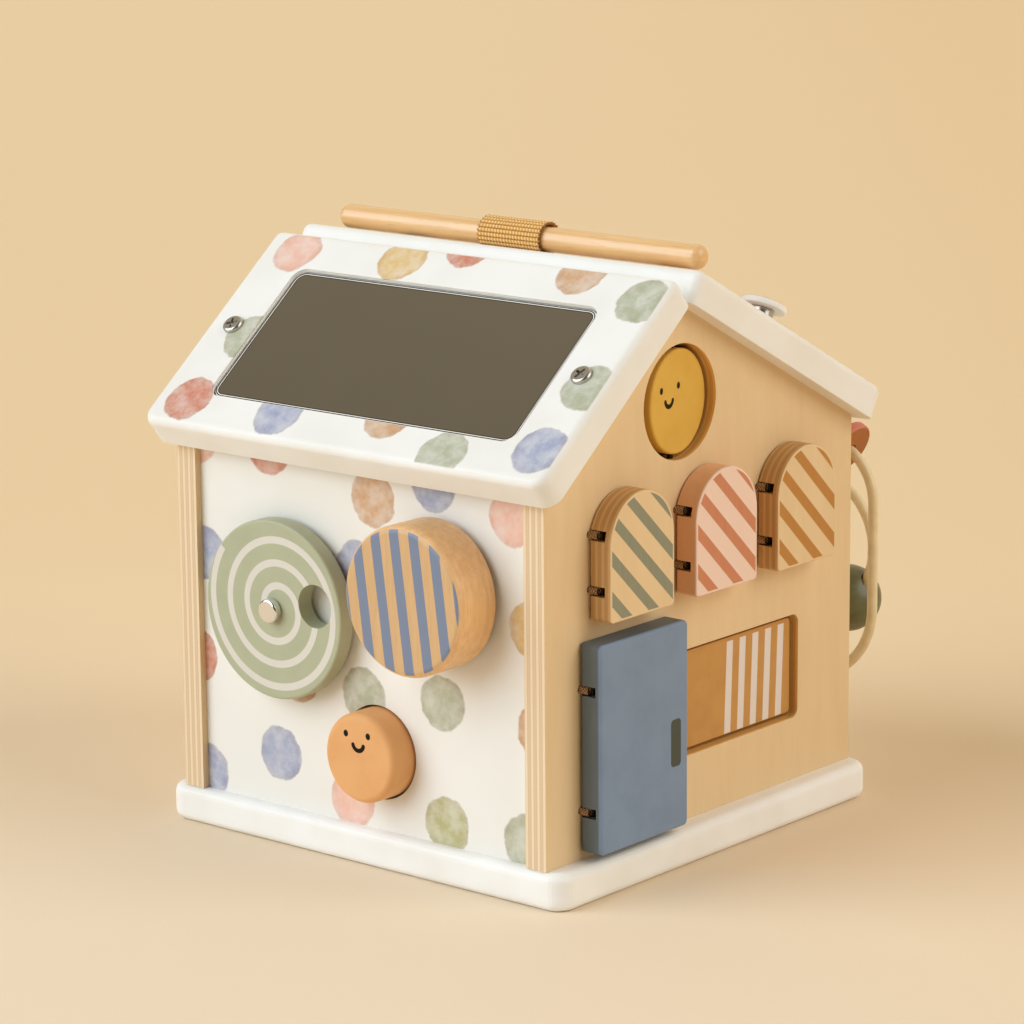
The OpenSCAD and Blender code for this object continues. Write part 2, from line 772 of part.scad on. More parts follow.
module push_button() {
  body_l = button_out + flange_front;
  color(button_orange) on_front_wall(-flange_front) translate([button_x, button_z, 0]) difference() {
    union() {
      turned_disc(button_d, body_l, button_edge_r, button_back_r);
      translate([0, 0, -flange_t]) cylinder(d = flange_d, h = flange_t);
    }
    translate([0, 0, -flange_t - cut]) cylinder(r = spring_r + spring_wire, h = spring_seat + cut);
  }
}

module housing_screws(d, head) {
  on_front_wall(-panel_t - housing_ear_t) translate([button_x, button_z, 0])
    for (i = [1:housing_ears]) rotate(90 + i*360/housing_ears) translate([housing_screw_r, 0, 0]) {
      cylinder(d = d, h = housing_ear_t + panel_t/2);
      if (head > 0) mirror([0, 0, 1]) dome(head, d/2);
    }
}

module button_housing() {
  color(cup_white) difference() {
    on_front_wall(-housing_depth) translate([button_x, button_z, 0]) difference() {
      union() {
        cylinder(d = housing_d, h = housing_depth - panel_t);
        translate([0, 0, housing_depth - panel_t - housing_ear_t]) linear_extrude(housing_ear_t)
          for (i = [1:housing_ears]) rotate(90 + i*360/housing_ears) {
            translate([housing_screw_r, 0]) circle(d = housing_ear_d);
            translate([0, -housing_ear_d/2]) square([housing_screw_r, housing_ear_d]);
          }
      }
      translate([0, 0, housing_wall]) cylinder(d = housing_d - 2*housing_wall, h = housing_depth);
    }
    housing_screws(housing_screw_d + 2*bore_gap, 0);
  }
}

module button_housing_screws() {
  color(steel) housing_screws(housing_screw_d, 2*housing_screw_d);
}

// One unbroken coil from the housing's floor to the seat in the button
module button_spring() {
  low = -housing_depth + housing_wall + spring_wire/2 + running_gap;
  high = -flange_front - flange_t + spring_seat - spring_wire/2 - running_gap;
  count = spring_turns*spring_rings;
  points = [for (i = [0:count], k = [0:spring_sides - 1])
    let (a = 360*i/spring_rings, b = 360*k/spring_sides, r = spring_r + spring_wire/2*cos(b))
    [r*cos(a), r*sin(a), low + (high - low)*i/count + spring_wire/2*sin(b)]];
  walls = [for (i = [0:count - 1], k = [0:spring_sides - 1])
    let (a = i*spring_sides + k, b = i*spring_sides + (k + 1)%spring_sides)
    each [[a, b, b + spring_sides], [a, b + spring_sides, a + spring_sides]]];
  ends = [for (k = [1:spring_sides - 2]) each
    [[0, k + 1, k], [count*spring_sides, count*spring_sides + k, count*spring_sides + k + 1]]];
  gaps = [for (i = [0:count - spring_rings], k = [0:spring_sides - 1])
    norm(points[(i + spring_rings)*spring_sides + k] - points[i*spring_sides + k]) - spring_wire];
  echo(least_gap_between_coils = min(gaps));
  color(steel) on_front_wall(0) translate([button_x, button_z, 0]) polyhedron(points, concat(walls, ends));
}

module sun_disc() {
  color(mustard) translate([gable_mid, sun_y, sun_z]) rotate([0, 0, sun_turn]) difference() {
    rotate([0, 90, 0]) translate([0, 0, -sun_t/2]) turned_disc(sun_d, sun_t, sun_edge_r, sun_edge_r);
    cylinder(d = sun_pin_d + 2*bore_gap, h = sun_d + 2*cut, center = true);
  }
}

module sun_pin() {
  color(steel) translate([gable_mid, sun_y, sun_z])
    cylinder(d = sun_pin_d, h = sun_hole_d + 2*sun_pin_seat, center = true);
}

// A leaf's notches and pin bore, and the rounded edge that turns against the wall
module hinge_cuts(edge, low, top, heights) {
  for (z = heights) translate([leaf_x - cut, edge - cut, z - notch_h/2])
    cube([hinge_back + notch_r + cut, hinge_in + notch_r + cut, notch_h]);
  translate([hinge_x, edge + hinge_in, low - cut])
    cylinder(d = hinge_pin_d + 2*bore_gap, h = top - low + cut);
  translate([leaf_x - cut, edge - cut, low - cut]) difference() {
    cube([hinge_edge_r + cut, hinge_edge_r + cut, top - low + leaf_t + shutter_h]);
    translate([hinge_edge_r + cut, hinge_edge_r + cut, -cut])
      cylinder(r = hinge_edge_r, h = top - low + leaf_t + shutter_h + 2*cut);
  }
}

module shutter_outline() {
  translate([-shutter_w/2, shutter_r]) square([shutter_w, shutter_h - shutter_w/2 - shutter_r]);
  translate([-shutter_w/2 + shutter_r, 0]) square([shutter_w - 2*shutter_r, shutter_r]);
  for (side = [-1, 1]) translate([side*(shutter_w/2 - shutter_r), shutter_r]) circle(shutter_r);
  translate([0, shutter_h - shutter_w/2]) circle(shutter_w/2);
}

module shutter(i, tint) {
  color(tint) difference() {
    on_side(leaf_x) translate([shutter_left[i] + shutter_w/2, shutter_z, 0])
      linear_extrude(leaf_t) shutter_outline();
    hinge_cuts(shutter_left[i], shutter_z, shutter_pin_top, shutter_hinge_z);
  }
}

module left_shutter() { shutter(0, striped_grey); }
module middle_shutter() { shutter(1, striped_pink); }
module right_shutter() { shutter(2, striped_tan); }

module door() {
  color(slate_blue) difference() {
    on_side(leaf_x) translate([door_y + door_w/2, door_z + door_h/2, 0])
      linear_extrude(leaf_t) round_rect(door_w, door_h, door_r);
    hinge_cuts(door_y, door_z, door_pin_top, door_hinge_z);
  }
}

module hinge_pin(edge, low, top) {
  color(steel) translate([hinge_x, edge + hinge_in, low])
    cylinder(d = hinge_pin_d, h = top - low - hinge_end_gap);
}

module left_shutter_pin() { hinge_pin(shutter_left[0], shutter_z, shutter_pin_top); }
module middle_shutter_pin() { hinge_pin(shutter_left[1], shutter_z, shutter_pin_top); }
module right_shutter_pin() { hinge_pin(shutter_left[2], shutter_z, shutter_pin_top); }
module door_pin() { hinge_pin(door_y, door_z, door_pin_top); }

// A cord loop from the wall round a hinge pin and back
module hinge_cord(edge, z) {
  leg = hinge_x - half_w + cord_in_wall - hinge_end_gap;
  translate([hinge_x, edge + hinge_in, z]) {
    rotate([0, 0, -90]) rotate_extrude(angle = 180) translate([cord_bend_r, 0]) circle(d = hinge_cord_d);
    for (side = [-1, 1]) translate([-leg, side*cord_bend_r, 0])
      rotate([0, 90, 0]) cylinder(d = hinge_cord_d, h = leg);
  }
}

module shutter_hinge_cords() {
  color(cord_brown) for (edge = shutter_left, z = shutter_hinge_z) hinge_cord(edge, z);
}

module door_hinge_cords() {
  color(cord_brown) for (z = door_hinge_z) hinge_cord(door_y, z);
}

module slide_panel() {
  color(caramel) on_side(runner_x) translate([slide_y, window_z, 0])
    linear_extrude(half_w - slide_set - runner_x) round_rect(slide_w, slide_h, slide_r);
}

module slide_runner() {
  color(birch) on_side(runner_x - runner_t) translate([slide_y, window_z, 0])
    linear_extrude(runner_t) square([runner_w, runner_h], center = true);
}

// A rail of L section along one edge of the runner, side +1 above and -1 below
module slide_rail(side) {
  reach = runner_h/2 + runner_gap;
  depth = rail_depth + rail_t;
  color(beech) difference() {
    translate([inner_x, 0, window_z]) scale([1, 1, side]) {
      translate([-depth, -rail_w/2, reach]) cube([depth, rail_w, rail_foot]);
      translate([-depth, -rail_w/2, reach - rail_lip]) cube([rail_t, rail_w, rail_lip]);
    }
    for (y = [-rail_screw_y, rail_screw_y]) rail_screw_at(y, side, rail_screw_d + 2*bore_gap, 0);
  }
}

module rail_screw_at(y, side, d, head) {
  depth = rail_depth + rail_t;
  z = window_z + side*(runner_h/2 + runner_gap + rail_foot/2);
  translate([inner_x - depth, y, z]) rotate([0, 90, 0]) {
    cylinder(d = d, h = depth + rail_screw_l);
    if (head > 0) mirror([0, 0, 1]) dome(head, d/2);
  }
}

module upper_slide_rail() { slide_rail(1); }
module lower_slide_rail() { slide_rail(-1); }

module slide_rail_screws() {
  color(steel) for (y = [-rail_screw_y, rail_screw_y], side = [-1, 1])
    rail_screw_at(y, side, rail_screw_d, rail_head_d);
}

// A bead wire: two feet in the back panel, an upper and a lower run along X, and an upright
module bead_wire(y, upright_x, low, upright, low_r, top_r, foot_x) {
  top = low + low_r + upright + top_r;
  foot_l = y - foot_bend_r - back_face + foot_in;
  color(cream_coat) {
    if (upright > 0) translate([upright_x, y, low + low_r]) cylinder(d = wire_d, h = upright);
    for (run = [[top, top_r], [low, low_r]]) {
      translate([foot_x + foot_bend_r, y, run[0]]) rotate([0, 90, 0])
        cylinder(d = wire_d, h = upright_x - run[1] - foot_x - foot_bend_r);
      translate([foot_x, back_face - foot_in, run[0]]) rotate([-90, 0, 0])
        cylinder(d = wire_d, h = foot_l);
      translate([foot_x + foot_bend_r, y - foot_bend_r, run[0]]) rotate([0, 0, 90])
        rotate_extrude(angle = 90) translate([foot_bend_r, 0]) circle(d = wire_d);
    }
    translate([upright_x - top_r, y, top - top_r]) rotate([90, 0, 0])
      rotate_extrude(angle = 90) translate([top_r, 0]) circle(d = wire_d);
    translate([upright_x - low_r, y, low + low_r]) rotate([90, 0, 0]) rotate([0, 0, -90])
      rotate_extrude(angle = 90) translate([low_r, 0]) circle(d = wire_d);
  }
}

module near_bead_wire() {
  bead_wire(near_wire_y, near_wire_x, near_wire_low, near_upright, near_low_r, near_top_r, near_wire_foot);
}

module far_bead_wire() {
  bead_wire(far_wire_y, far_wire_x, far_wire_low, 0, far_bend_r, far_bend_r, far_wire_foot);
}

// The bead's bore is straight and wide enough for the wire's curve
module round_bead() {
  color(bead_green) translate(ball_bend) rotate([0, ball_a, 0]) translate([ball_r, 0, 0])
    rotate_extrude() intersection() {
      circle(d = ball_d);
      translate([ball_bore_d/2, -ball_d/2]) square(ball_d);
    }
}

module disc_bead() {
  color(bead_orange) translate(disc_bead_bend) rotate([0, disc_bead_a, 0])
    translate([-disc_bead_t/2, 0, near_top_r]) rotate([0, 90, 0]) difference() {
      turned_disc(disc_bead_d, disc_bead_t, bead_edge_r, bead_edge_r);
      translate([0, 0, -cut]) cylinder(d = disc_bore_d, h = disc_bead_t + 2*cut);
    }
}

module beater_rod() {
  color(beech) on_back_roof(rod_down, rod_h) translate([rod_x - rod_l/2, 0, 0]) rotate([0, 90, 0])
    rotate_extrude() intersection() {
      union() {
        translate([0, rod_end_r]) square([rod_r, rod_l - 2*rod_end_r]);
        square([rod_r - rod_end_r, rod_l]);
        for (z = [rod_end_r, rod_l - rod_end_r]) translate([rod_r - rod_end_r, z]) circle(rod_end_r);
      }
      square([rod_r, rod_l]);
    }
}

// A flat loop round the rod whose two ends run together into a slot of the roof
module rod_strap() {
  color(mustard) on_back_roof(rod_down, roof_t) translate([rod_x - strap_w/2, 0, 0])
    rotate([90, 0, 90]) linear_extrude(strap_w) difference() {
      union() {
        translate([0, rod_h - roof_t]) circle(loop_r + strap_t);
        translate([-strap_t, -strap_tail + slot_gap]) square([2*strap_t, strap_tail + strap_t/2]);
      }
      translate([0, rod_h - roof_t]) circle(loop_r);
    }
}

// Staples driven through the strap's tail, across the slot
module strap_staple_wires(d, extra) {
  for (x = [-1, 1]*strap_w/4)
    on_back_roof(rod_down, roof_t - strap_tail/2) translate([rod_x + x, -staple_l/2 - extra, 0])
      rotate([-90, 0, 0]) cylinder(d = d, h = staple_l + 2*extra);
}

module strap_staples() {
  color(steel) strap_staple_wires(staple_d, 0);
}

module roof_spinner() {
  color(white_paint) on_back_roof(spinner_down, roof_t + spinner_lift) translate([spinner_x, 0, 0])
    difference() {
      turned_disc(spinner_d, spinner_t, spinner_edge_r, spinner_back_r);
      translate([0, 0, -cut]) cylinder(d = spinner_pin_d + 2*bore_gap, h = spinner_t + 2*cut);
    }
}

module spinner_post() {
  color(beech) on_back_roof(spinner_down, roof_t - post_socket) translate([spinner_x, 0, 0]) difference() {
    cylinder(d = post_d, h = post_socket + spinner_lift - running_gap);
    translate([0, 0, post_socket + spinner_lift - running_gap - spinner_pin_l])
      cylinder(d = spinner_pin_d + 2*bore_gap, h = spinner_pin_l + cut);
  }
}

module spinner_pin() {
  pin_l = spinner_pin_l + spinner_t + 2*running_gap;
  color(steel) on_back_roof(spinner_down, roof_t + spinner_lift - running_gap - spinner_pin_l)
    translate([spinner_x, 0, 0]) {
      cylinder(d = spinner_pin_d, h = pin_l);
      translate([0, 0, pin_l]) dome(spinner_cap_d, spinner_cap_h);
    }
}

base_board();
left_gable();
right_gable();
front_panel();
back_panel();
front_roof();
back_roof();
roof_mirror();
roof_screws();
base_screws();
wall_dowels();
spiral_dial();
dial_spindle();
dial_spacer();
dial_nut();
striped_knob();
knob_axle();
knob_spacer();
knob_retainer();
knob_retainer_screw();
push_button();
button_housing();
button_spring();
button_housing_screws();
sun_disc();
sun_pin();
left_shutter();
middle_shutter();
right_shutter();
door();
left_shutter_pin();
middle_shutter_pin();
right_shutter_pin();
door_pin();
shutter_hinge_cords();
door_hinge_cords();
slide_panel();
slide_runner();
upper_slide_rail();
lower_slide_rail();
slide_rail_screws();
near_bead_wire();
far_bead_wire();
round_bead();
disc_bead();
beater_rod();
rod_strap();
strap_staples();
roof_spinner();
spinner_post();
spinner_pin();
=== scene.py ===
# %% [markdown]
# A wooden activity house, dressed in Blender.
# The CAD model gives the shapes, the sizes and the joints. This lesson adds what CAD leaves
# plain: paint, print, plywood, knitted elastic, cord, cross-recess screws and light.
# Lengths are written in millimetres and turned into metres where Blender needs them.

# %% Load the packed frame
import json
import math

import bmesh
import bpy
from mathutils import Matrix, Vector


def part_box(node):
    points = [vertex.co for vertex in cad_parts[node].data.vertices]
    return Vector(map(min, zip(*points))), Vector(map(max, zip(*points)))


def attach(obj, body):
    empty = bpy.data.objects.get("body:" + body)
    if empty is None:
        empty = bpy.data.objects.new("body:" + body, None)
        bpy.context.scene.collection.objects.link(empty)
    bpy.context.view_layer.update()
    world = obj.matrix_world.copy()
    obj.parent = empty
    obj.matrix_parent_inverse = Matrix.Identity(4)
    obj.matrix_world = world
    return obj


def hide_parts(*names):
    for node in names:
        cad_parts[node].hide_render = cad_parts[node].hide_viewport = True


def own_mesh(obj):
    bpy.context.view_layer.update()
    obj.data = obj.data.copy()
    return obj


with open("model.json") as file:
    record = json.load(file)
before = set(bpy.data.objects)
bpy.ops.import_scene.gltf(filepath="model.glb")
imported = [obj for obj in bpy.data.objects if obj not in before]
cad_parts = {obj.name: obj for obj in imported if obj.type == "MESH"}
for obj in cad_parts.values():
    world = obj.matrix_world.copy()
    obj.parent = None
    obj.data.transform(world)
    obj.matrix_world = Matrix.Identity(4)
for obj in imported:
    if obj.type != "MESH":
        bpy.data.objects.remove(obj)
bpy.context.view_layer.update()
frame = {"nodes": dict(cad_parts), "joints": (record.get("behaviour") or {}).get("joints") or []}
nodes = frame["nodes"]
MM = 0.001

# %% [markdown]
# The house's own measures. They repeat the source's values, because patterns and new pieces
# sit on the same walls and slopes. A slope's point is given by the way down from the ridge and
# the height above the underside of its boards.

# %% Measures of the house
HALF_W = 100
PLY_T = 10.5
GABLE_MID = HALF_W - PLY_T / 2
FRONT_FACE = -100.8
BACK_FACE = 100.8
RIDGE = Vector((0, -20.5, 235.5))
RIDGE_RISE = 66.5
FRONT_RUN = 83.5
BACK_RUN = 124.5
OVERHANG = 4
ROOF_T = 14.6
FRONT_PITCH = math.atan(RIDGE_RISE / FRONT_RUN)
BACK_PITCH = math.atan(RIDGE_RISE / BACK_RUN)
FRONT_MIDDLE = (FRONT_RUN + OVERHANG) / math.cos(FRONT_PITCH) / 2
BACK_MIDDLE = (BACK_RUN + OVERHANG) / math.cos(BACK_PITCH) / 2
LEAF_X = HALF_W + 0.6
LEAF_T = 11
LEAF_FACE = LEAF_X + LEAF_T


def on_slope(down, above, pitch, side):
    """A point of the front (side -1) or back (side 1) slope, in mm."""
    return RIDGE + Vector((0, side * (down * math.cos(pitch) + above * math.sin(pitch)),
                           above * math.cos(pitch) - down * math.sin(pitch)))


print("pitches:", round(math.degrees(FRONT_PITCH), 1), round(math.degrees(BACK_PITCH), 1))


# %% [markdown]
# The camera stands where the photograph was taken from: to the right of the front, a little
# above the roof, with a long lens. Its place, its direction and its slight roll were fitted
# to straight edges of the house.

# %% Camera
CAMERA_PLACE = (1.0730, -1.2844, 0.5094)
CAMERA_AZIMUTH = 39.96
CAMERA_ELEVATION = 12.74
CAMERA_ROLL = -0.51
CAMERA_LENS = 141.25
CAMERA_SENSOR = 36
NEAR_CLIP = 0.05

camera_data = bpy.data.cameras.new("photo_camera")
camera_data.lens = CAMERA_LENS
camera_data.sensor_width = CAMERA_SENSOR
camera_data.clip_start = NEAR_CLIP
camera = bpy.data.objects.new("photo_camera", camera_data)
bpy.context.scene.collection.objects.link(camera)
camera.location = CAMERA_PLACE
aim = Matrix.Rotation(math.radians(CAMERA_AZIMUTH), 4, "Z")
tilt = Matrix.Rotation(math.radians(90 - CAMERA_ELEVATION), 4, "X")
roll = Matrix.Rotation(math.radians(CAMERA_ROLL), 4, "Z")
camera.rotation_euler = (aim @ tilt @ roll).to_euler()
bpy.context.scene.camera = camera
print("camera looks along", [round(v, 3) for v in (aim @ tilt) @ Vector((0, 0, -1))])


# %% [markdown]
# A finish is a small tree of shader nodes. Wiring each node by hand hides the idea, so one
# class wraps a socket: sums and comparisons of wrapped sockets add the Math nodes, and its node
# method adds any other node, with settings first and sockets after.

# %% A socket that can be calculated with
class Wire:
    """An output socket of a shader tree."""

    def __init__(self, tree, socket):
        self.tree = tree
        self.socket = socket

    def node(self, kind, settings=None, sockets=None, output=0):
        made = self.tree.nodes.new("ShaderNode" + kind)
        for name, value in (settings or {}).items():
            if name == "stops":
                self.set_stops(made.color_ramp.elements, value)
            elif name == "ramp":
                made.color_ramp.interpolation = value
            else:
                setattr(made, name, value)
        for key, value in (sockets or {}).items():
            if isinstance(value, Wire):
                self.tree.links.new(value.socket, made.inputs[key])
            else:
                made.inputs[key].default_value = value
        return Wire(self.tree, made.outputs[output])

    @staticmethod
    def set_stops(elements, stops):
        while len(elements) < len(stops):
            elements.new(1)
        for element, (place, colour) in zip(elements, stops):
            element.position = place
            element.color = colour

    def outputs(self):
        return [Wire(self.tree, socket) for socket in self.socket.node.outputs]

    def math(self, operation, first, *others):
        return self.node("Math", {"operation": operation}, dict(enumerate((first, *others))))

    def __add__(self, other):
        return self.math("ADD", self, other)

    def __radd__(self, other):
        return self.math("ADD", other, self)

    def __sub__(self, other):
        return self.math("SUBTRACT", self, other)

    def __rsub__(self, other):
        return self.math("SUBTRACT", other, self)

    def __mul__(self, other):
        return self.math("MULTIPLY", self, other)

    def __rmul__(self, other):
        return self.math("MULTIPLY", other, self)

    def __truediv__(self, other):
        return self.math("DIVIDE", self, other)

    def __rtruediv__(self, other):
        return self.math("DIVIDE", other, self)

    def __mod__(self, other):
        return self.math("FLOORED_MODULO", self, other)

    def __pow__(self, other):
        return self.math("POWER", self, other)

    def __abs__(self):
        return self.math("ABSOLUTE", self)

    def __gt__(self, other):
        return self.math("GREATER_THAN", self, other)

    def __lt__(self, other):
        return self.math("LESS_THAN", self, other)


print("a wire is", Wire.__doc__)


# %% [markdown]
# A few verbs are enough for all the finishes: start a material and get the place on the piece
# in millimetres, split or turn that place, blend colours, draw soft edges, and add noise.

# %% Start and dress a finish
def rgb(red, green, blue):
    """A colour picker's colour as the linear light that shaders work with."""
    def linear(value):
        value /= 255
        return value / 12.92 if value <= 0.04045 else ((value + 0.055) / 1.055) ** 2.4
    return (linear(red), linear(green), linear(blue), 1)


def new_finish(name, **fixed):
    """A new material with its fixed shader values, and the place on the piece in millimetres."""
    finish = bpy.data.materials.new(name)
    finish.use_nodes = True
    shader = finish.node_tree.nodes["Principled BSDF"]
    for socket, value in fixed.items():
        shader.inputs[socket.replace("_", " ")].default_value = value
    here = Wire(finish.node_tree, None).node("TexCoord", output="Object")
    return finish, here.node("VectorMath", {"operation": "SCALE"}, {0: here, "Scale": 1 / MM})


def dress(finish, colour, roughness, height, relief, **others):
    """Links the parts of a finish that change over the surface. Relief is the bump's height in mm."""
    tree = finish.node_tree
    shader = tree.nodes["Principled BSDF"]
    given = {"Base Color": colour, "Roughness": roughness, **others}
    for socket, wire in given.items():
        if isinstance(wire, Wire):
            tree.links.new(wire.socket, shader.inputs[socket.replace("_", " ")])
        else:
            shader.inputs[socket.replace("_", " ")].default_value = wire
    bump = height.node("Bump", None, {"Height": height, "Distance": relief * MM, "Strength": 1.0})
    tree.links.new(bump.socket, shader.inputs["Normal"])
    return finish


print("middle grey as light:", round(rgb(128, 128, 128)[0], 3))


# %% Places, blends and soft edges
def axes(place):
    return place.node("SeparateXYZ", None, {0: place}).outputs()


def local(place, origin, turn):
    """The place as seen from an origin in mm, on axes turned by three angles in degrees."""
    return place.node("Mapping", {"vector_type": "TEXTURE"}, {
        "Vector": place, "Location": origin, "Rotation": [math.radians(a) for a in turn]})


def stretched(place, scale):
    return place.node("Mapping", None, {"Vector": place, "Scale": scale})


def blended(mask, under, over):
    wire = next(w for w in (mask, under, over) if isinstance(w, Wire))
    return wire.node("Mix", {"data_type": "RGBA"}, {0: mask, 6: under, 7: over}, 2)


def rising(value, edge, blur):
    """0 below the edge and 1 above it, with a soft change of that half width."""
    return value.node("MapRange", {"interpolation_type": "SMOOTHSTEP"},
                      {0: value, 1: edge - blur, 2: edge + blur})


def falling(value, edge, blur):
    return 1 - rising(value, edge, blur)


def noise(place, size, detail, rough=0.55):
    """Cloudy noise from 0 to 1 whose features are about that size in mm."""
    return place.node("TexNoise", None, {
        "Vector": place, "Scale": 1 / size, "Detail": detail, "Roughness": rough})


def length(across, up):
    return (across * across + up * up) ** 0.5


def larger(first, second):
    return first.math("MAXIMUM", first, second)


print("verbs:", [verb.__name__ for verb in (axes, local, blended, rising, falling, noise)])


# %% [markdown]
# The floor turns a deeper cream towards the right, as painted shade on that side.
# The house stands on a plain cream floor. Light comes as a broad soft sun from the upper left, a
# weaker one from the right, and a sky that is dim in front and brighter behind, as by day indoors.
# Suns light the whole floor alike, which lamps cannot. Just above the floor's far edge the sky is
# as pale as the floor, so that low views show no seam.

# %% Floor
FLOOR_SIZE = 60
NEAR_CREAM = rgb(243, 225, 200)
FAR_CREAM = rgb(236, 210, 169)
RIGHT_SHADE_CREAM = rgb(229, 199, 152)
FLECK_CREAM = rgb(228, 204, 165)
FAR_FADE = (150, 450)
RIGHT_SHADE_FADE = (300, 400)

bpy.ops.object.select_all(action="DESELECT")
bpy.ops.mesh.primitive_plane_add(size=FLOOR_SIZE)
floor = bpy.context.object
floor.name = "floor"
floor_finish, floor_place = new_finish("cream_floor")
beside, behind = axes(local(floor_place, (0, 0, 0), (0, 0, CAMERA_AZIMUTH)))[:2]
fibre = noise(floor_place, 1.5, 2.0)
cream = blended(rising(behind, *FAR_FADE), NEAR_CREAM, FAR_CREAM)
# Painted shade: a deeper cream towards the right stands in for the soft shade that falls there.
cream = blended(rising(beside, *RIGHT_SHADE_FADE) * 0.8, cream, RIGHT_SHADE_CREAM)
cream = blended(0.15 * fibre, cream, FLECK_CREAM)
dress(floor_finish, cream, 0.85 + 0.1 * fibre, fibre, 0.01)
floor.data.materials.append(floor_finish)
print("floor of", FLOOR_SIZE, "metres")

# %% Suns and sky
KEY_FROM = (-0.46, -0.75, 0.48)
KEY_POWER = 2.8
KEY_SPREAD = 58
KEY_TINT = rgb(237, 247, 255)
FILL_FROM = (0.84, 0.22, 0.50)
FILL_POWER = 1.38
FILL_SPREAD = 50
FILL_TINT = rgb(255, 254, 250)
SKY_BRIGHT = (-0.20, 0.85, 0.50)
SKY_TINT = rgb(255, 233, 200)
SKY_DIM = 0.05
SKY_GAIN = 0.84
SKY_FADE = (0.5, 0.6)
SKY_LOW = 0.76
LOW_FADE = (0.02, 0.015)


def sun_lamp(name, towards, power, spread, tint):
    data = bpy.data.lights.new(name, "SUN")
    data.energy = power
    data.angle = math.radians(spread)
    data.color = tint[:3]
    lamp = bpy.data.objects.new(name, data)
    bpy.context.scene.collection.objects.link(lamp)
    lamp.rotation_euler = Vector(towards).to_track_quat("Z", "Y").to_euler()
    return lamp


lamps = [sun_lamp("key_sun", KEY_FROM, KEY_POWER, KEY_SPREAD, KEY_TINT),
         sun_lamp("fill_sun", FILL_FROM, FILL_POWER, FILL_SPREAD, FILL_TINT)]

sky = bpy.data.worlds.new("studio_sky")
bpy.context.scene.world = sky
sky.use_nodes = True
backdrop = sky.node_tree.nodes["Background"]
backdrop.inputs["Color"].default_value = SKY_TINT
way = Wire(sky.node_tree, None).node("TexCoord", output="Generated")
facing = way.node("VectorMath", {"operation": "DOT_PRODUCT"}, {0: way, 1: SKY_BRIGHT}, 1)
low_sky = SKY_LOW * falling(axes(way)[2], *LOW_FADE)
glow = larger(SKY_DIM + SKY_GAIN * rising(facing, *SKY_FADE), low_sky)
sky.node_tree.links.new(glow.socket, backdrop.inputs["Strength"])
bpy.context.scene.view_settings.view_transform = "Standard"
print("lamps:", [lamp.name for lamp in lamps])


# %% [markdown]
# White boards are sprayed with a matt paint: almost even, with a fine orange-peel skin, a trace
# of warmth where hands touch it, and no visible grain. One function makes it, and boards that
# carry printed dots start from the same skin.

# %% White paint
WHITE = rgb(240, 238, 232)
WHITE_WARM = rgb(235, 231, 222)
ROOF_WHITE = rgb(245, 244, 240)
FRESH_WHITE = rgb(250, 249, 246)


def white_finish(name, colour_of=None, white=WHITE):
    finish, place = new_finish(name)
    peel = noise(place, 1.1, 2.0)
    colour = blended(rising(noise(place, 38, 2.0), 0.55, 0.25) * 0.6, white, WHITE_WARM)
    if colour_of:
        colour = colour_of(place, colour)
    return dress(finish, colour, 0.42 + 0.12 * peel, peel, 0.012)


base_white = white_finish("base_white_paint", white=FRESH_WHITE)
print("made", base_white.name)


# %% [markdown]
# The front wall and the roof are printed with scattered soft dots. A Voronoi texture gives each
# cell a centre and a colour of its own, so one small tree scatters them all. Noise makes the rims
# uneven and thins the colour, as a brush does, and a mask keeps them on the face of the board.

# %% Printed dots
WALL_CELL = 43
ROOF_CELL = 46
DOT_RADIUS = 11.8
DOT_SCATTER = 0.42
DOT_WOBBLE = 3.6
DOT_STRENGTH = 0.86
DOT_COLOURS = (rgb(205, 118, 84), rgb(236, 182, 160), rgb(150, 158, 190), rgb(172, 176, 146),
               rgb(176, 172, 112), rgb(222, 182, 104), rgb(204, 156, 108))
DOT_RIM = rgb(150, 110, 90)
FACE_DEPTH = 0.5


def dotted(origin, turn, shift, cell):
    """Dots on a face with this origin and turn, from the scatter's part at this shift, in mm."""
    def add_dots(place, ground):
        face = local(place, origin, turn)
        out = axes(face)[2]
        spread = face.node("VectorMath", {"operation": "ADD"}, {0: face, 1: shift})
        spread = stretched(spread, (1, 1, 0))
        cells = spread.node("TexVoronoi", {"voronoi_dimensions": "2D"}, {
            "Vector": spread, "Scale": 1 / cell, "Randomness": DOT_SCATTER})
        distance, chance = cells.outputs()[:2]
        stops = [(i / len(DOT_COLOURS), c) for i, c in enumerate(DOT_COLOURS)]
        chosen = chance.node("SeparateColor", None, {0: chance})
        colour = chosen.node("ValToRGB", {"ramp": "CONSTANT", "stops": stops}, {0: chosen})
        rim = distance * cell + DOT_WOBBLE * (noise(face, 7, 3.0) - 0.5)
        wash = noise(face, 9, 4.0, 0.65)
        dot = falling(rim, DOT_RADIUS, 0.55)
        strength = dot * (0.62 + 0.5 * rising(wash, 0.5, 0.2)) * rising(out, -FACE_DEPTH, 0.2)
        deeper = blended(rising(rim, DOT_RADIUS - 2.2, 1.6) * 0.18, colour, DOT_RIM)
        return blended(strength * DOT_STRENGTH, ground, deeper)
    return add_dots


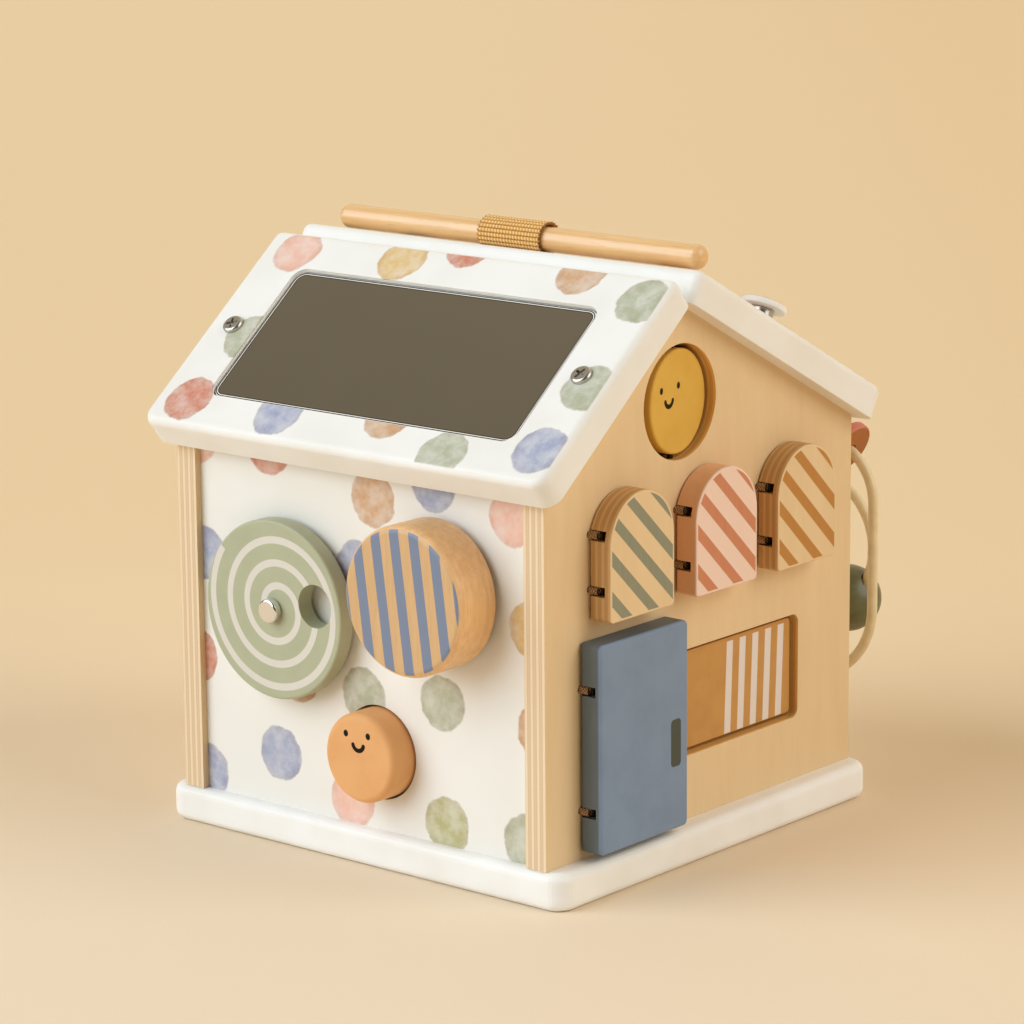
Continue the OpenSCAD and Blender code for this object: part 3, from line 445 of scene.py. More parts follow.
front_roof_top = on_slope(0, ROOF_T, FRONT_PITCH, -1)
back_roof_top = on_slope(0, ROOF_T, BACK_PITCH, 1)
front_tilt = (math.degrees(FRONT_PITCH), 0, 0)
back_tilt = (-math.degrees(BACK_PITCH), 0, 0)
DOTTED_FACES = (
    ("front_wall_dots", (0, FRONT_FACE, 0), (90, 0, 0), (9, 20, 0), WALL_CELL, WHITE),
    ("back_wall_dots", (0, BACK_FACE, 0), (90, 0, 180), (140, 75, 0), WALL_CELL, WHITE),
    ("front_roof_dots", front_roof_top, front_tilt, (414.8, 338.1, 0), ROOF_CELL, ROOF_WHITE),
    ("back_roof_dots", back_roof_top, back_tilt, (530, 330, 0), WALL_CELL, ROOF_WHITE))
front_dots, back_dots, roof_dots, rear_dots = (
    white_finish(name, dotted(*where), white) for name, *where, white in DOTTED_FACES)
print("dots on", [m.name for m in (front_dots, back_dots, roof_dots, rear_dots)])


# %% [markdown]
# Birch plywood is a stack of thin veneers, light and tan by turns, so its colour is a solid
# pattern through the board's thickness: the faces show one calm veneer, and the edges show all
# the layers. The same idea serves the gables and the arched leaves.

# %% Plywood
BIRCH = rgb(232, 203, 159)
BIRCH_STREAK = rgb(225, 193, 146)
GABLE_LAYERS = (rgb(242, 219, 186), rgb(228, 198, 157))
LEAF_LAYERS = (rgb(214, 172, 114), rgb(197, 150, 92))
BURNT_LAYERS = (rgb(246, 198, 116), rgb(232, 174, 92))
GLUE_LINE = rgb(140, 100, 62)
PLY_COUNT = 7
SUN_HOLE = (-16.5, 193.5)
SUN_HOLE_R = 25.5
LONG_HOLE_UP = 66.2
LONG_HOLE_HALF = (67.5, 24.3)


def plywood(place, middle, thickness, layers):
    """The colour of plywood whose layers lie across X, and a height for its grain."""
    across = axes(place)[0]
    veneer = thickness / PLY_COUNT
    depth = abs(abs(across) - middle) - 0.03
    wander = 0.25 * (noise(stretched(place, (1, 0.2, 0.2)), 6, 2.0) - 0.5)
    layer = (depth + wander + veneer / 2) % (2 * veneer)
    glue = falling(abs((depth + wander + veneer / 2) % veneer - veneer / 2), veneer / 2 - 0.12, 0.1)
    figure = noise(stretched(place, (1, 1, 0.16)), 9, 4.0, 0.6)
    pores = noise(stretched(place, (1, 1, 0.05)), 0.55, 2.0, 0.7)
    streaks = rising(figure, 0.52, 0.25) * 0.6 + 0.2 * rising(pores, 0.6, 0.12)
    face = blended(streaks, BIRCH, BIRCH_STREAK)
    cut = blended(rising(layer, veneer, 0.25), layers[1], layers[0])
    edge = blended((1 - glue) * 0.3 + 0.12 * noise(place, 0.6, 2.0), cut, GLUE_LINE)
    return blended(rising(depth, thickness / 2 - 0.25, 0.1), edge, face), pores


def scorched(place):
    """A gable's edge tones: browner inside the round and the long window, where the cutter burnt."""
    along, up = axes(place)[1:]
    round_hole = falling(length(along - SUN_HOLE[0], up - SUN_HOLE[1]), SUN_HOLE_R, 0.5)
    beside = larger(abs(along) - LONG_HOLE_HALF[0], abs(up - LONG_HOLE_UP) - LONG_HOLE_HALF[1])
    inside = larger(round_hole, falling(beside, 0, 0.5))
    return [blended(inside, plain, burnt) for plain, burnt in zip(GABLE_LAYERS, BURNT_LAYERS)]


def plywood_finish(name, middle, thickness, layers_at, over=None):
    finish, place = new_finish(name)
    colour, pores = plywood(place, middle, thickness, layers_at(place))
    if over:
        colour = over(place, colour)
    return dress(finish, colour, 0.46 + 0.12 * pores, pores, 0.02)


gable_ply = plywood_finish("gable_plywood", GABLE_MID, PLY_T, scorched)
print("made", gable_ply.name)


# %% [markdown]
# The three arched leaves carry diagonal stripes on their faces only, and the stripes stop a
# millimetre short of the outline. Stripes are a repeating distance measured along a slope, so
# a modulo draws them, and the distance to an arch over two straight sides keeps them in.

# %% Striped leaves
SHUTTER_W = 41.5
SHUTTER_LOW = 114.3
SHUTTER_HIGH = 165.3
SHUTTER_MIDDLES = (-56, 0, 56)
ARCH_R = SHUTTER_W / 2
STRIPE_SLOPE = 0.95
STRIPE_PITCH = 16.4
STRIPE_BAND = 6.4
STRIPE_MARGIN = 1.1
STRIPE_STARTS = (85.4, 139.3, 192.6)
STRIPE_PAINTS = (rgb(132, 135, 114), rgb(203, 124, 81), rgb(186, 122, 38))
PINK_SIDES = (rgb(240, 188, 146), rgb(231, 176, 132))
PINK_FACE = (rgb(243, 213, 196), rgb(236, 202, 182))


def striped(number):
    """The stripes of one shutter, counted from the front of the house."""
    middle, start, paint = (row[number] for row in (SHUTTER_MIDDLES, STRIPE_STARTS, STRIPE_PAINTS))

    def add_stripes(place, ground):
        across, along, up = axes(place)
        slope = (up + STRIPE_SLOPE * along - start) % STRIPE_PITCH
        band = rising(abs(slope - STRIPE_PITCH / 2), STRIPE_PITCH / 2 - STRIPE_BAND / 2, 0.18)
        in_arch = larger(up - (SHUTTER_HIGH - ARCH_R), 0.0)
        inside = falling(length(along - middle, in_arch), ARCH_R - STRIPE_MARGIN, 0.15)
        inside = inside * rising(up, SHUTTER_LOW + STRIPE_MARGIN, 0.15)
        grain = noise(stretched(place, (1, 1, 0.06)), 1.6, 3.0)
        on_face = rising(across, LEAF_FACE - 0.3, 0.08)
        return blended(band * inside * on_face * (0.88 + 0.12 * grain), ground, paint)
    return add_stripes


def striped_on_pink(place, ground):
    """The middle shutter is painted pink all over before it is striped."""
    side = blended(noise(place, 4, 3.0), *PINK_SIDES)
    skin = blended(0.4 * noise(place, 1.2, 2.0), *PINK_FACE)
    pink = blended(rising(axes(place)[0], LEAF_FACE - 0.7, 0.3), side, skin)
    return striped(1)(place, pink)


def leaf_layers(place):
    return LEAF_LAYERS


grey_leaf, rose_leaf, tan_leaf = (
    plywood_finish(name, LEAF_X + LEAF_T / 2, LEAF_T, leaf_layers, stripes)
    for name, stripes in (("grey_green_striped_leaf", striped(0)),
                          ("rose_striped_leaf", striped_on_pink),
                          ("caramel_striped_leaf", striped(2))))
print("leaves:", grey_leaf.name, rose_leaf.name, tan_leaf.name)


# %% [markdown]
# Turned beech shows short brown flecks along its grain under a clear lacquer. The grain runs
# along the rod, and up and down on the knob, so the function is told how to stretch its noise.
# The knob's face is printed with stripes, which a modulo repeats as it does on the leaves.

# %% Beech
BEECH = (rgb(240, 194, 138), rgb(226, 176, 118))
BEECH_FLECK = rgb(180, 124, 72)
PALE_BEECH = (rgb(238, 193, 131), rgb(226, 175, 112))


def beech(place, stretch, tones):
    lines = noise(stretched(place, stretch), 2.4, 4.0, 0.6)
    flecks = noise(stretched(place, stretch), 0.7, 2.0, 0.7)
    colour = blended(rising(lines, 0.5, 0.25), *tones)
    return blended(rising(flecks, 0.66, 0.08) * 0.4, colour, BEECH_FLECK), flecks


def beech_finish(name, stretch, tones, over=None, coat=0.15):
    finish, place = new_finish(name, Coat_Roughness=0.25, Coat_Weight=coat)
    colour, flecks = beech(place, stretch, tones)
    if over:
        colour = over(place, colour)
    return dress(finish, colour, 0.4 + 0.1 * flecks, flecks, 0.012)


beech_lengthwise = beech_finish("beech_rod", (0.05, 1, 1), PALE_BEECH, coat=1.0)
beech_plain = beech_finish("beech_small_turnings", (1, 1, 0.1), BEECH)
print("beech:", beech_lengthwise.name, beech_plain.name)

# %% Striped knob
KNOB = (44.3, FRONT_FACE, 122.6)
KNOB_SPACER = 2.6
KNOB_T = 22
TURNING_GAP = 0.3
KNOB_OUT = KNOB_SPACER + TURNING_GAP + KNOB_T
KNOB_PITCH = 10.2
KNOB_BAND = 5.0
KNOB_TURN = -7.5
KNOB_FACE = rgb(192, 158, 113)
KNOB_BLUE = rgb(108, 127, 157)


def knob_stripes(place, ground):
    across, _, out = axes(local(place, KNOB, (90, KNOB_TURN, 0)))
    stripe = abs((across + KNOB_PITCH / 2) % KNOB_PITCH - KNOB_PITCH / 2)
    face = rising(out, KNOB_OUT - 0.5, 0.15)
    band = falling(stripe, KNOB_BAND / 2, 0.12) * face
    return blended(band * 0.94, blended(face * 0.5, ground, KNOB_FACE), KNOB_BLUE)


beech_knob = beech_finish("beech_striped_knob", (1, 1, 0.09), BEECH, knob_stripes)
print("made", beech_knob.name)


# %% [markdown]
# Painted wooden pieces share one skin: a matt paint with a slight mottle and the faintest trace of
# grain. Prints are drawn over it with distances: a spiral, two plain smiling faces, a slot and bars.

# %% Painted wood and the spiral
def painted_finish(name, colour, deeper, over, gloss=0.5):
    finish, place = new_finish(name, Specular_IOR_Level=gloss)
    clouds = noise(place, 16, 3.0)
    peel = noise(place, 0.9, 2.0)
    ground = blended(rising(clouds, 0.55, 0.22) * 0.7 + 0.2 * peel, colour, deeper)
    return dress(finish, over(place, ground), 0.46 + 0.14 * peel, peel, 0.015)


DIAL = (-39.8, FRONT_FACE, 103.8)
DIAL_SPACER = 2
DIAL_T = 8
DIAL_OUT = DIAL_SPACER + TURNING_GAP + DIAL_T
SPIRAL_SHIFT = (2.2, 1.2)
SPIRAL_START = 7.0
SPIRAL_PITCH = 9.7
SPIRAL_LINE = 3.1
SPIRAL_TURNS = (0.02, 3.1)
SPIRAL_PAINT = rgb(221, 215, 204)


def spiral(place, ground):
    across, up, out = axes(local(place, DIAL, (90, 0, 0)))
    across, up = across - SPIRAL_SHIFT[0], up - SPIRAL_SHIFT[1]
    turn = up.math("ARCTAN2", up, across * -1) / (2 * math.pi)
    phase = (length(across, up) - SPIRAL_START) / SPIRAL_PITCH - turn
    ring = phase.math("ROUND", phase)
    line = falling(abs(phase - ring) * SPIRAL_PITCH, SPIRAL_LINE / 2, 0.12)
    whole = ring + turn
    drawn = (whole > SPIRAL_TURNS[0]) * (whole < SPIRAL_TURNS[1]) * rising(out, DIAL_OUT - 0.4, 0.1)
    return blended(line * drawn * 0.95, ground, SPIRAL_PAINT)


sage_dial = painted_finish("sage_spiral_dial", rgb(180, 182, 151), rgb(172, 174, 142), spiral)
print("made", sage_dial.name)

# %% Smiling faces
INK = rgb(16, 11, 8)
EYE_HALF = (1.25, 1.45)
STROKE = 0.95
MOUTH_END = -0.7
INK_GLOSS = 0.15


def smile(origin, turn, face_out, eyes, mouth, mouth_radius):
    """A plain smiling face: two oval eyes and a short arc, printed on the front of a piece."""
    def add_smile(place, ground):
        across, up, out = axes(local(place, origin, turn))
        drawn = 0
        for eye_across, eye_up in eyes:
            oval = length((across - eye_across) / EYE_HALF[0], (up - eye_up) / EYE_HALF[1])
            drawn = falling(oval, 1, 0.12) + drawn
        right, rise = across - mouth[0], up - mouth[1]
        arc = falling(abs(length(right, rise) - mouth_radius), STROKE, 0.12)
        arc = arc * falling(rise, MOUTH_END, 0.1)
        corner = math.sqrt(mouth_radius ** 2 - MOUTH_END ** 2)
        for end in (-corner, corner):
            arc = larger(arc, falling(length(right - end, rise - MOUTH_END), STROKE, 0.12))
        return blended((drawn + arc) * rising(out, face_out - 0.5, 0.2), ground, INK)
    return add_smile


BUTTON = (9, FRONT_FACE, 49)
BUTTON_OUT = 13
BUTTON_EYES = ((-6.7, 9.9), (5.4, 10.4))
BUTTON_MOUTH = ((0, 6.4), 2.9)
SUN = (GABLE_MID, *SUN_HOLE)
SUN_TURN = 7
SUN_OUT = 4
SUN_EYES = ((-13.4, 6.3), (0.0, 6.6))
SUN_MOUTH = ((-7.4, 2.0), 3.0)
button_face = smile(BUTTON, (90, 0, 0), BUTTON_OUT, BUTTON_EYES, *BUTTON_MOUTH)
sun_face = smile(SUN, (90, 0, 90 + SUN_TURN), SUN_OUT, SUN_EYES, *SUN_MOUTH)
orange_button = painted_finish("orange_smiling_button", rgb(234, 176, 118), rgb(225, 163, 104),
                               button_face, gloss=INK_GLOSS)
mustard_sun = painted_finish("mustard_smiling_sun", rgb(223, 178, 82), rgb(213, 166, 73),
                             sun_face, gloss=INK_GLOSS)
print("faces:", orange_button.name, mustard_sun.name)


# %% [markdown]
# The door has a dark finger slot printed on it, and the panel behind the long window has five
# pale bars. Both could be thin pieces of their own, but ink has no thickness, so the finishes
# draw them: the slot as a distance to a rounded rectangle, the bars as a repeated step.
# The door's finish also darkens its edges and back, as painted shade.

# %% Door and sliding panel
SLOT_MIDDLE = (-34.3, 56.2)
SLOT_HALF = (3.3, 10.0)
SLOT_CORNER = 1.8
SLOT_INK = rgb(66, 72, 62)
DOOR_SIDE_SHADE = rgb(88, 96, 92)
BAR_FIRST = 20.8
BAR_PITCH = 8.98
BAR_WIDTH = 4.3
BAR_LEAN = 0.045
BAR_COUNT = 5
BAR_HEIGHTS = (45.6, 85.3)
BAR_PAINT = rgb(231, 222, 217)
SLIDE_FACE = HALF_W - 3


def slot_and_side_shade(place, ground):
    across, along, up = axes(place)
    beside = larger(abs(along - SLOT_MIDDLE[0]) - (SLOT_HALF[0] - SLOT_CORNER), 0.0)
    beyond = larger(abs(up - SLOT_MIDDLE[1]) - (SLOT_HALF[1] - SLOT_CORNER), 0.0)
    slot = falling(length(beside, beyond), SLOT_CORNER, 0.15) * rising(across, LEAF_FACE - 0.4, 0.1)
    # Painted shade: the edges and back, behind the face, are darkened towards a dull grey-green.
    side = falling(across, LEAF_FACE - 1.5, 0.5)
    return blended(slot, blended(side * 0.8, ground, DOOR_SIDE_SHADE), SLOT_INK)


def pale_bars(place, ground):
    across, along, up = axes(place)
    low, high = BAR_HEIGHTS
    step = along - BAR_LEAN * (up - (low + high) / 2) - (BAR_FIRST - BAR_PITCH / 2)
    bar = falling(abs(step % BAR_PITCH - BAR_PITCH / 2), BAR_WIDTH / 2, 0.15)
    within = (step > 0) * (step < BAR_COUNT * BAR_PITCH) * (up > low) * (up < high)
    drawn = bar * within * rising(across, SLIDE_FACE - 0.3, 0.1)
    return blended(drawn * 0.93, ground, BAR_PAINT)


slate_door = painted_finish("slate_blue_door", rgb(125, 146, 173), rgb(116, 136, 162), slot_and_side_shade)
caramel_panel = painted_finish("caramel_barred_panel", rgb(202, 149, 78), rgb(188, 134, 66), pale_bars)
print("prints:", slate_door.name, caramel_panel.name)


# %% [markdown]
# Metal, wire coating, beads and the inner cup: each is a short finish with its own small
# unevenness, such as fine brushing or a soft dip coat.

# %% Metal, coating and beads
def metal_finish(name, colour, rough, brushing):
    finish, place = new_finish(name, Metallic=1.0)
    lines = noise(stretched(place, brushing), 0.35, 2.0)
    tone = blended(lines * 0.3, colour, [0.6 * part for part in colour[:3]] + [1])
    return dress(finish, tone, rough + 0.1 * lines, lines, 0.004)


def glossy_finish(name, colour, deeper, rough):
    finish, place = new_finish(name, Coat_Roughness=0.2, Coat_Weight=0.25)
    ripple = noise(place, 1.4, 2.0)
    tone = blended(rising(noise(place, 6, 3.0), 0.52, 0.2) * 0.8, colour, deeper)
    return dress(finish, tone, rough + 0.12 * ripple, ripple, 0.012)


nickel = metal_finish("nickel_plated_screws", rgb(196, 194, 188), 0.24, (1, 1, 1))
blackened = metal_finish("blackened_hinge_pins", rgb(58, 50, 42), 0.5, (1, 1, 0.2))
polished = metal_finish("polished_cap", rgb(240, 239, 236), 0.1, (1, 1, 1))
cream_coat = glossy_finish("cream_wire_coat", rgb(236, 217, 176), rgb(226, 205, 160), 0.34)
green_bead = glossy_finish("dark_green_bead", rgb(104, 104, 66), rgb(88, 88, 52), 0.36)
cup_plastic = glossy_finish("inner_cup", rgb(226, 222, 212), rgb(216, 212, 200), 0.4)
print("metals and coats:", nickel.name, polished.name, cream_coat.name)


# %% [markdown]
# Two small discs have an edge of another colour: the amber bead and the spinner on the roof. A
# second material on chosen faces would do, but CAD meshes are left alone, so the distance from
# the disc's own axis tells its edge from its face.

# %% Discs with a painted edge
DISC_BEND = (68.4, 127.8, 124.5)
DISC_ANGLE = 28
DISC_RISE = 27
DISC_RIM_R = 11.9
DISC_PINK = rgb(206, 120, 100)
SPINNER_X = 78
SPINNER_DOWN = 88
SPINNER_ABOVE = 12
SPINNER_RIM_R = 8.2
SPINNER_RIM_OUT = 2.6
SPINNER_PINK = rgb(228, 176, 156)
spinner_middle = on_slope(SPINNER_DOWN, ROOF_T + SPINNER_ABOVE, BACK_PITCH, 1)
spinner_middle.x = SPINNER_X


def disc_rim(place, ground):
    along, up = axes(local(place, DISC_BEND, (0, DISC_ANGLE, 0)))[1:]
    rim = rising(length(along, up - DISC_RISE), DISC_RIM_R, 0.2)
    return blended(rim, ground, DISC_PINK)


def spinner_rim(place, ground):
    across, along, out = axes(local(place, spinner_middle, back_tilt))
    edge = rising(length(across, along), SPINNER_RIM_R, 0.3) * rising(out, SPINNER_RIM_OUT, 0.15)
    return blended(edge, ground, SPINNER_PINK)


amber_bead = painted_finish("amber_disc_bead", rgb(172, 102, 38), rgb(160, 90, 30), disc_rim)
rimmed_white = white_finish("white_spinner_pink_edge", spinner_rim, FRESH_WHITE)
print("made", amber_bead.name, rimmed_white.name)


# %% [markdown]
# Each CAD piece whose shape is right keeps its mesh and gets its finish here. One table is easier
# to check than many lines, and what it leaves out shows which pieces are still to be modelled.

# %% Dress the CAD pieces
CAD_FINISHES = {
    base_white: ["base_board"],
    rimmed_white: ["roof_spinner"],
    front_dots: ["front_panel"],
    back_dots: ["back_panel"],
    roof_dots: ["front_roof"],
    rear_dots: ["back_roof"],
    gable_ply: ["left_gable", "right_gable", "slide_runner"],
    beech_lengthwise: ["beater_rod", "upper_slide_rail", "lower_slide_rail"],
    beech_knob: ["striped_knob"],
    beech_plain: ["wall_dowels", "dial_spacer", "knob_axle", "knob_spacer"],
    sage_dial: ["spiral_dial"],
    orange_button: ["push_button"],
    mustard_sun: ["sun_disc"],
    caramel_panel: ["slide_panel"],
    polished: ["dial_spindle", "spinner_pin"],
    nickel: ["base_screws", "dial_nut", "knob_retainer", "knob_retainer_screw",
             "button_housing_screws", "slide_rail_screws", "strap_staples",
             "spinner_post"],
    # The sun's pin is bright steel but takes the blackened finish, so the gap under the sun reads as
    # painted shade.
    blackened: ["left_shutter_pin", "middle_shutter_pin", "right_shutter_pin", "door_pin",
                "sun_pin"],
    cream_coat: ["near_bead_wire", "far_bead_wire"],
    green_bead: ["round_bead"],
    amber_bead: ["disc_bead"],
    cup_plastic: ["button_housing"],
}
for finish, names in CAD_FINISHES.items():
    for name in names:
        nodes[name].data.materials.clear()
        nodes[name].data.materials.append(finish)
dressed = {name for names in CAD_FINISHES.values() for name in names}
print("dressed:", len(dressed), "left for new pieces:", sorted(set(nodes) - dressed))


# %% [markdown]
# The remaining pieces are modelled anew, because their edges, recesses or cloth are finer than
# their CAD solids. A few verbs take the same steps as a hand does: pick pieces, add a box or a
# round bar at its place, round chosen edges, cut one shape with another, join pieces, and complete
# a piece with smooth shading, its finish, its body and the CAD node that it stands for.

# %% Verbs that add
def pick(*pieces):
    """Selects these pieces alone and makes the first one active."""
    bpy.ops.object.select_all(action="DESELECT")
    for piece in pieces:
        piece.select_set(True)
    bpy.context.view_layer.objects.active = pieces[0]


def applied(name):
    """The active object, named, with its place put into its mesh."""
    bpy.ops.object.transform_apply(location=True, rotation=True, scale=True)
    piece = bpy.context.object
    piece.name = piece.data.name = name
    return piece


def block(name, low, high):
    """A box between two corners in mm."""
    low, high = Vector(low) * MM, Vector(high) * MM
    bpy.ops.object.select_all(action="DESELECT")
    bpy.ops.mesh.primitive_cube_add(size=1, location=(low + high) / 2)
    bpy.context.object.scale = high - low
    return applied(name)


def post(name, middle, radius, low, high, sides=32):
    """An upright round bar between two heights, in mm."""
    bpy.ops.object.select_all(action="DESELECT")
    bpy.ops.mesh.primitive_cylinder_add(vertices=sides, radius=radius * MM, depth=(high - low) * MM,
                                        location=Vector((*middle, (low + high) / 2)) * MM)
    return applied(name)


print("verbs that add:", [verb.__name__ for verb in (pick, applied, block, post)])

# %% Verbs that shape
TOUCH = 0.01
SLIVER = 0.02
BEVEL_MELT = 0.03


def edit(piece, mode):
    """Enters edit mode on one piece, with nothing selected, and gives its editable mesh."""
    pick(piece)
    bpy.ops.object.mode_set(mode="EDIT")
    bpy.ops.mesh.select_mode(type=mode)
    bpy.ops.mesh.select_all(action="DESELECT")
    return bmesh.from_edit_mesh(piece.data)


def round_edges(piece, chosen, radius, segments):
    """Bevels the edges whose two ends, in mm, pass the test."""
    for edge in edit(piece, "EDGE").edges:
        edge.select_set(chosen(*(end.co / MM for end in edge.verts)))
    bmesh.update_edit_mesh(piece.data)
    bpy.ops.mesh.bevel(offset=radius * MM, segments=segments, affect="EDGES")
    bpy.ops.mesh.select_all(action="SELECT")
    bpy.ops.mesh.remove_doubles(threshold=BEVEL_MELT * MM)
    bpy.ops.object.mode_set(mode="OBJECT")


def apply_modifier(piece, kind, **settings):
    bpy.context.view_layer.objects.active = piece
    modifier = piece.modifiers.new(kind.lower(), kind)
    for name, value in settings.items():
        setattr(modifier, name, value)
    bpy.ops.object.modifier_apply(modifier=modifier.name)


def cut_away(piece, *cutters):
    """Cuts each cutter out of the piece, then melts the slivers that cutting leaves."""
    for cutter in cutters:
        apply_modifier(piece, "BOOLEAN", operation="DIFFERENCE", solver="EXACT", object=cutter)
        bpy.data.meshes.remove(cutter.data)
    edit(piece, "VERT")
    bpy.ops.mesh.select_all(action="SELECT")
    bpy.ops.mesh.dissolve_degenerate(threshold=SLIVER * MM)
    bpy.ops.mesh.remove_doubles(threshold=SLIVER * MM)
    bpy.ops.object.mode_set(mode="OBJECT")


print("verbs that shape:", [verb.__name__ for verb in (edit, round_edges, apply_modifier, cut_away)])

# %% Verbs that finish
ROUND_ANGLE = 60


def joined(name, pieces):
    """One piece made of several."""
    pick(*pieces)
    bpy.ops.object.join()
    pieces[0].name = pieces[0].data.name = name
    return pieces[0]


def complete(piece, finish, body, slot, stands_for, angle=32):
    """Shades and dresses a piece, and says which body it rides on and which node it stands for."""
    pick(piece)
    bpy.ops.object.shade_smooth_by_angle(angle=math.radians(angle))
    apply_modifier(piece, "WEIGHTED_NORMAL", keep_sharp=True)
    piece.data.materials.clear()
    piece.data.materials.append(finish)
    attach(piece, body)
    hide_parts(stands_for)
    size = [round(side / MM, 1) for side in piece.dimensions]
    print("made", piece.name, "of", len(piece.data.polygons), "faces, size in mm:", size)


print("verbs that finish:", [verb.__name__ for verb in (joined, complete)])


# %% [markdown]
# Door and shutters are sawn boards with eased edges. Each starts as a box. The two upper edges of
# a shutter get a bevel as wide as half the leaf, which is an arch; the lower corners get a small
# one, and the outlines of face and back a smaller one still. Then the hinge edge is cut: rounded
# behind so that it turns clear of the wall, bored for the pin and notched for each cord.

# %% A leaf with its hinge edge
HINGE_IN = 3.5
HINGE_BACK = 4
HINGE_ROUND = 2
NOTCH_H = 4.2
NOTCH_REACH = 4.1
PIN_BORE = 1.05
BACK_RIM = 0.5
SPARE = 1


def hinge_edge_cutter(edge, low, high):
    """What is left of a square bar when a round bar is taken out of it."""
    cutter = block("hinge_edge_cutter", (LEAF_X - SPARE, edge - SPARE, low - SPARE),
                   (LEAF_X + HINGE_ROUND, edge + HINGE_ROUND, high + SPARE))
    middle = (LEAF_X + HINGE_ROUND, edge + HINGE_ROUND)
    cut_away(cutter, post("round_bar", middle, HINGE_ROUND, low - 2 * SPARE, high + 2 * SPARE, 48))
    return cutter


def leaf(name, edge, width, low, high, top_r, corner_r, rim, hinges, pin_top):
    piece = block(name, (LEAF_X, edge, low), (LEAF_FACE, edge + width, high))
    round_edges(piece, lambda a, b: abs(a.x - b.x) > 1 and min(a.z, b.z) > high - TOUCH, top_r, 24)
    round_edges(piece, lambda a, b: abs(a.x - b.x) > 1 and max(a.z, b.z) < low + TOUCH, corner_r, 6)
    round_edges(piece, lambda a, b: min(a.x, b.x) > LEAF_FACE - TOUCH, rim, 4)
    round_edges(piece, lambda a, b: max(a.x, b.x) < LEAF_X + TOUCH, BACK_RIM, 2)
    pin = (LEAF_X + HINGE_BACK, edge + HINGE_IN)
    notches = [block("notch", (LEAF_X - SPARE, edge - SPARE, z - NOTCH_H / 2),
                     (pin[0] + NOTCH_REACH, pin[1] + NOTCH_REACH, z + NOTCH_H / 2))
               for z in hinges]
    bore = post("bore", pin, PIN_BORE, low - SPARE, pin_top)
    cut_away(piece, hinge_edge_cutter(edge, low, high), bore, *notches)
    return piece


print("a leaf's pin stands", HINGE_IN, "mm in and", HINGE_BACK, "mm from its back")

# %% Shutters
SHUTTER_HINGES = (126.7, 149.3)
SHUTTER_PIN_TOP = 154.4
SHUTTER_CORNER = 2
SHUTTER_RIM = 0.6
SHUTTERS = (("left_shutter", grey_leaf, "shutter_one", "birch_ply"),
            ("middle_shutter", rose_leaf, "shutter_two", "pink_paint"),
            ("right_shutter", tan_leaf, "shutter_three", "birch_ply"))
for middle, (node, finish, body, slot) in zip(SHUTTER_MIDDLES, SHUTTERS):
    shutter = leaf(node + "_leaf", middle - ARCH_R, SHUTTER_W, SHUTTER_LOW, SHUTTER_HIGH,
                   ARCH_R - TOUCH, SHUTTER_CORNER, SHUTTER_RIM, SHUTTER_HINGES, SHUTTER_PIN_TOP)
    complete(shutter, finish, body, slot, node)

# %% Door
DOOR_EDGE = -83
DOOR_W = 57
DOOR_LOW = 19.4
DOOR_HIGH = 106.4
DOOR_HINGES = (36.5, 87.0)
DOOR_PIN_TOP = 98.1
DOOR_CORNER = 2.5
DOOR_RIM = 1.4
door = leaf("door_leaf_board", DOOR_EDGE, DOOR_W, DOOR_LOW, DOOR_HIGH,
            DOOR_CORNER, DOOR_CORNER, DOOR_RIM, DOOR_HINGES, DOOR_PIN_TOP)
complete(door, slate_door, "door_leaf", "blue_paint", "door")


# %% [markdown]
# The hinges are loops of braided cord, pressed flat. Each end is glued into the wall, and the bend
# goes round the pin in the leaf's notch. A filled circle, scaled to an oval, is extruded along one
# leg, spun half round the pin and extruded back, as a cord is led by hand. The braid is a diamond
# of two slanting waves that run along the cord.
# The braid's colour paints highlights on its crests and shade in its grooves.

# %% A loop of cord
CORD_HALF = (1.2, 1.75)
CORD_BEND = 2.25
CORD_ROOT = 93.5
CORD_SIDES = 20
BEND_STEPS = 14


def cord_loop(name, edge, height):
    pin = Vector((LEAF_X + HINGE_BACK, edge + HINGE_IN, height))
    leg = pin.x - CORD_ROOT
    bpy.ops.object.select_all(action="DESELECT")
    bpy.ops.mesh.primitive_circle_add(vertices=CORD_SIDES, radius=MM, fill_type="NGON",
                                      location=Vector((CORD_ROOT, pin.y - CORD_BEND, height)) * MM,
                                      rotation=(0, math.radians(90), 0))
    bpy.context.object.scale = (CORD_HALF[1], CORD_HALF[0], 1)
    piece = applied(name)
    edit(piece, "FACE")
    bpy.ops.mesh.select_all(action="SELECT")
    bpy.ops.mesh.extrude_region_move(TRANSFORM_OT_translate={"value": (leg * MM, 0, 0)})
    bpy.ops.mesh.spin(steps=BEND_STEPS, angle=math.pi, center=pin * MM, axis=(0, 0, 1))
    bpy.ops.mesh.extrude_region_move(TRANSFORM_OT_translate={"value": (-leg * MM, 0, 0)})
    bpy.ops.mesh.select_all(action="SELECT")
    bpy.ops.mesh.remove_doubles(threshold=TOUCH * MM)
    bpy.ops.mesh.normals_make_consistent(inside=False)
    bpy.ops.object.mode_set(mode="OBJECT")
    return piece


print("the cord is", [2 * half for half in CORD_HALF], "mm thick and wide")

# %% Braid and hinge cords
BRAID = 0.75
CORD_GROOVE_SHADE = rgb(122, 86, 56)
CORD_CREST_HIGHLIGHT = rgb(204, 168, 122)
cord_finish, cord_place = new_finish("brown_braided_cord")
cord_x, _, cord_z = axes(cord_place)
slants = [way * (math.pi / BRAID) for way in (cord_x + cord_z, cord_x - cord_z)]
braid = larger(*(slant.math("SINE", slant) for slant in slants))
strands = noise(cord_place, 0.4, 2.0)
# Painted light: the same waves that raise the bump lighten the crests and darken the grooves.
cord_tone = blended(rising(braid, 0.35, 0.5) * (0.35 + 0.65 * strands), CORD_GROOVE_SHADE, CORD_CREST_HIGHLIGHT)
dress(cord_finish, cord_tone, 0.75 + 0.15 * strands, braid, 0.18)

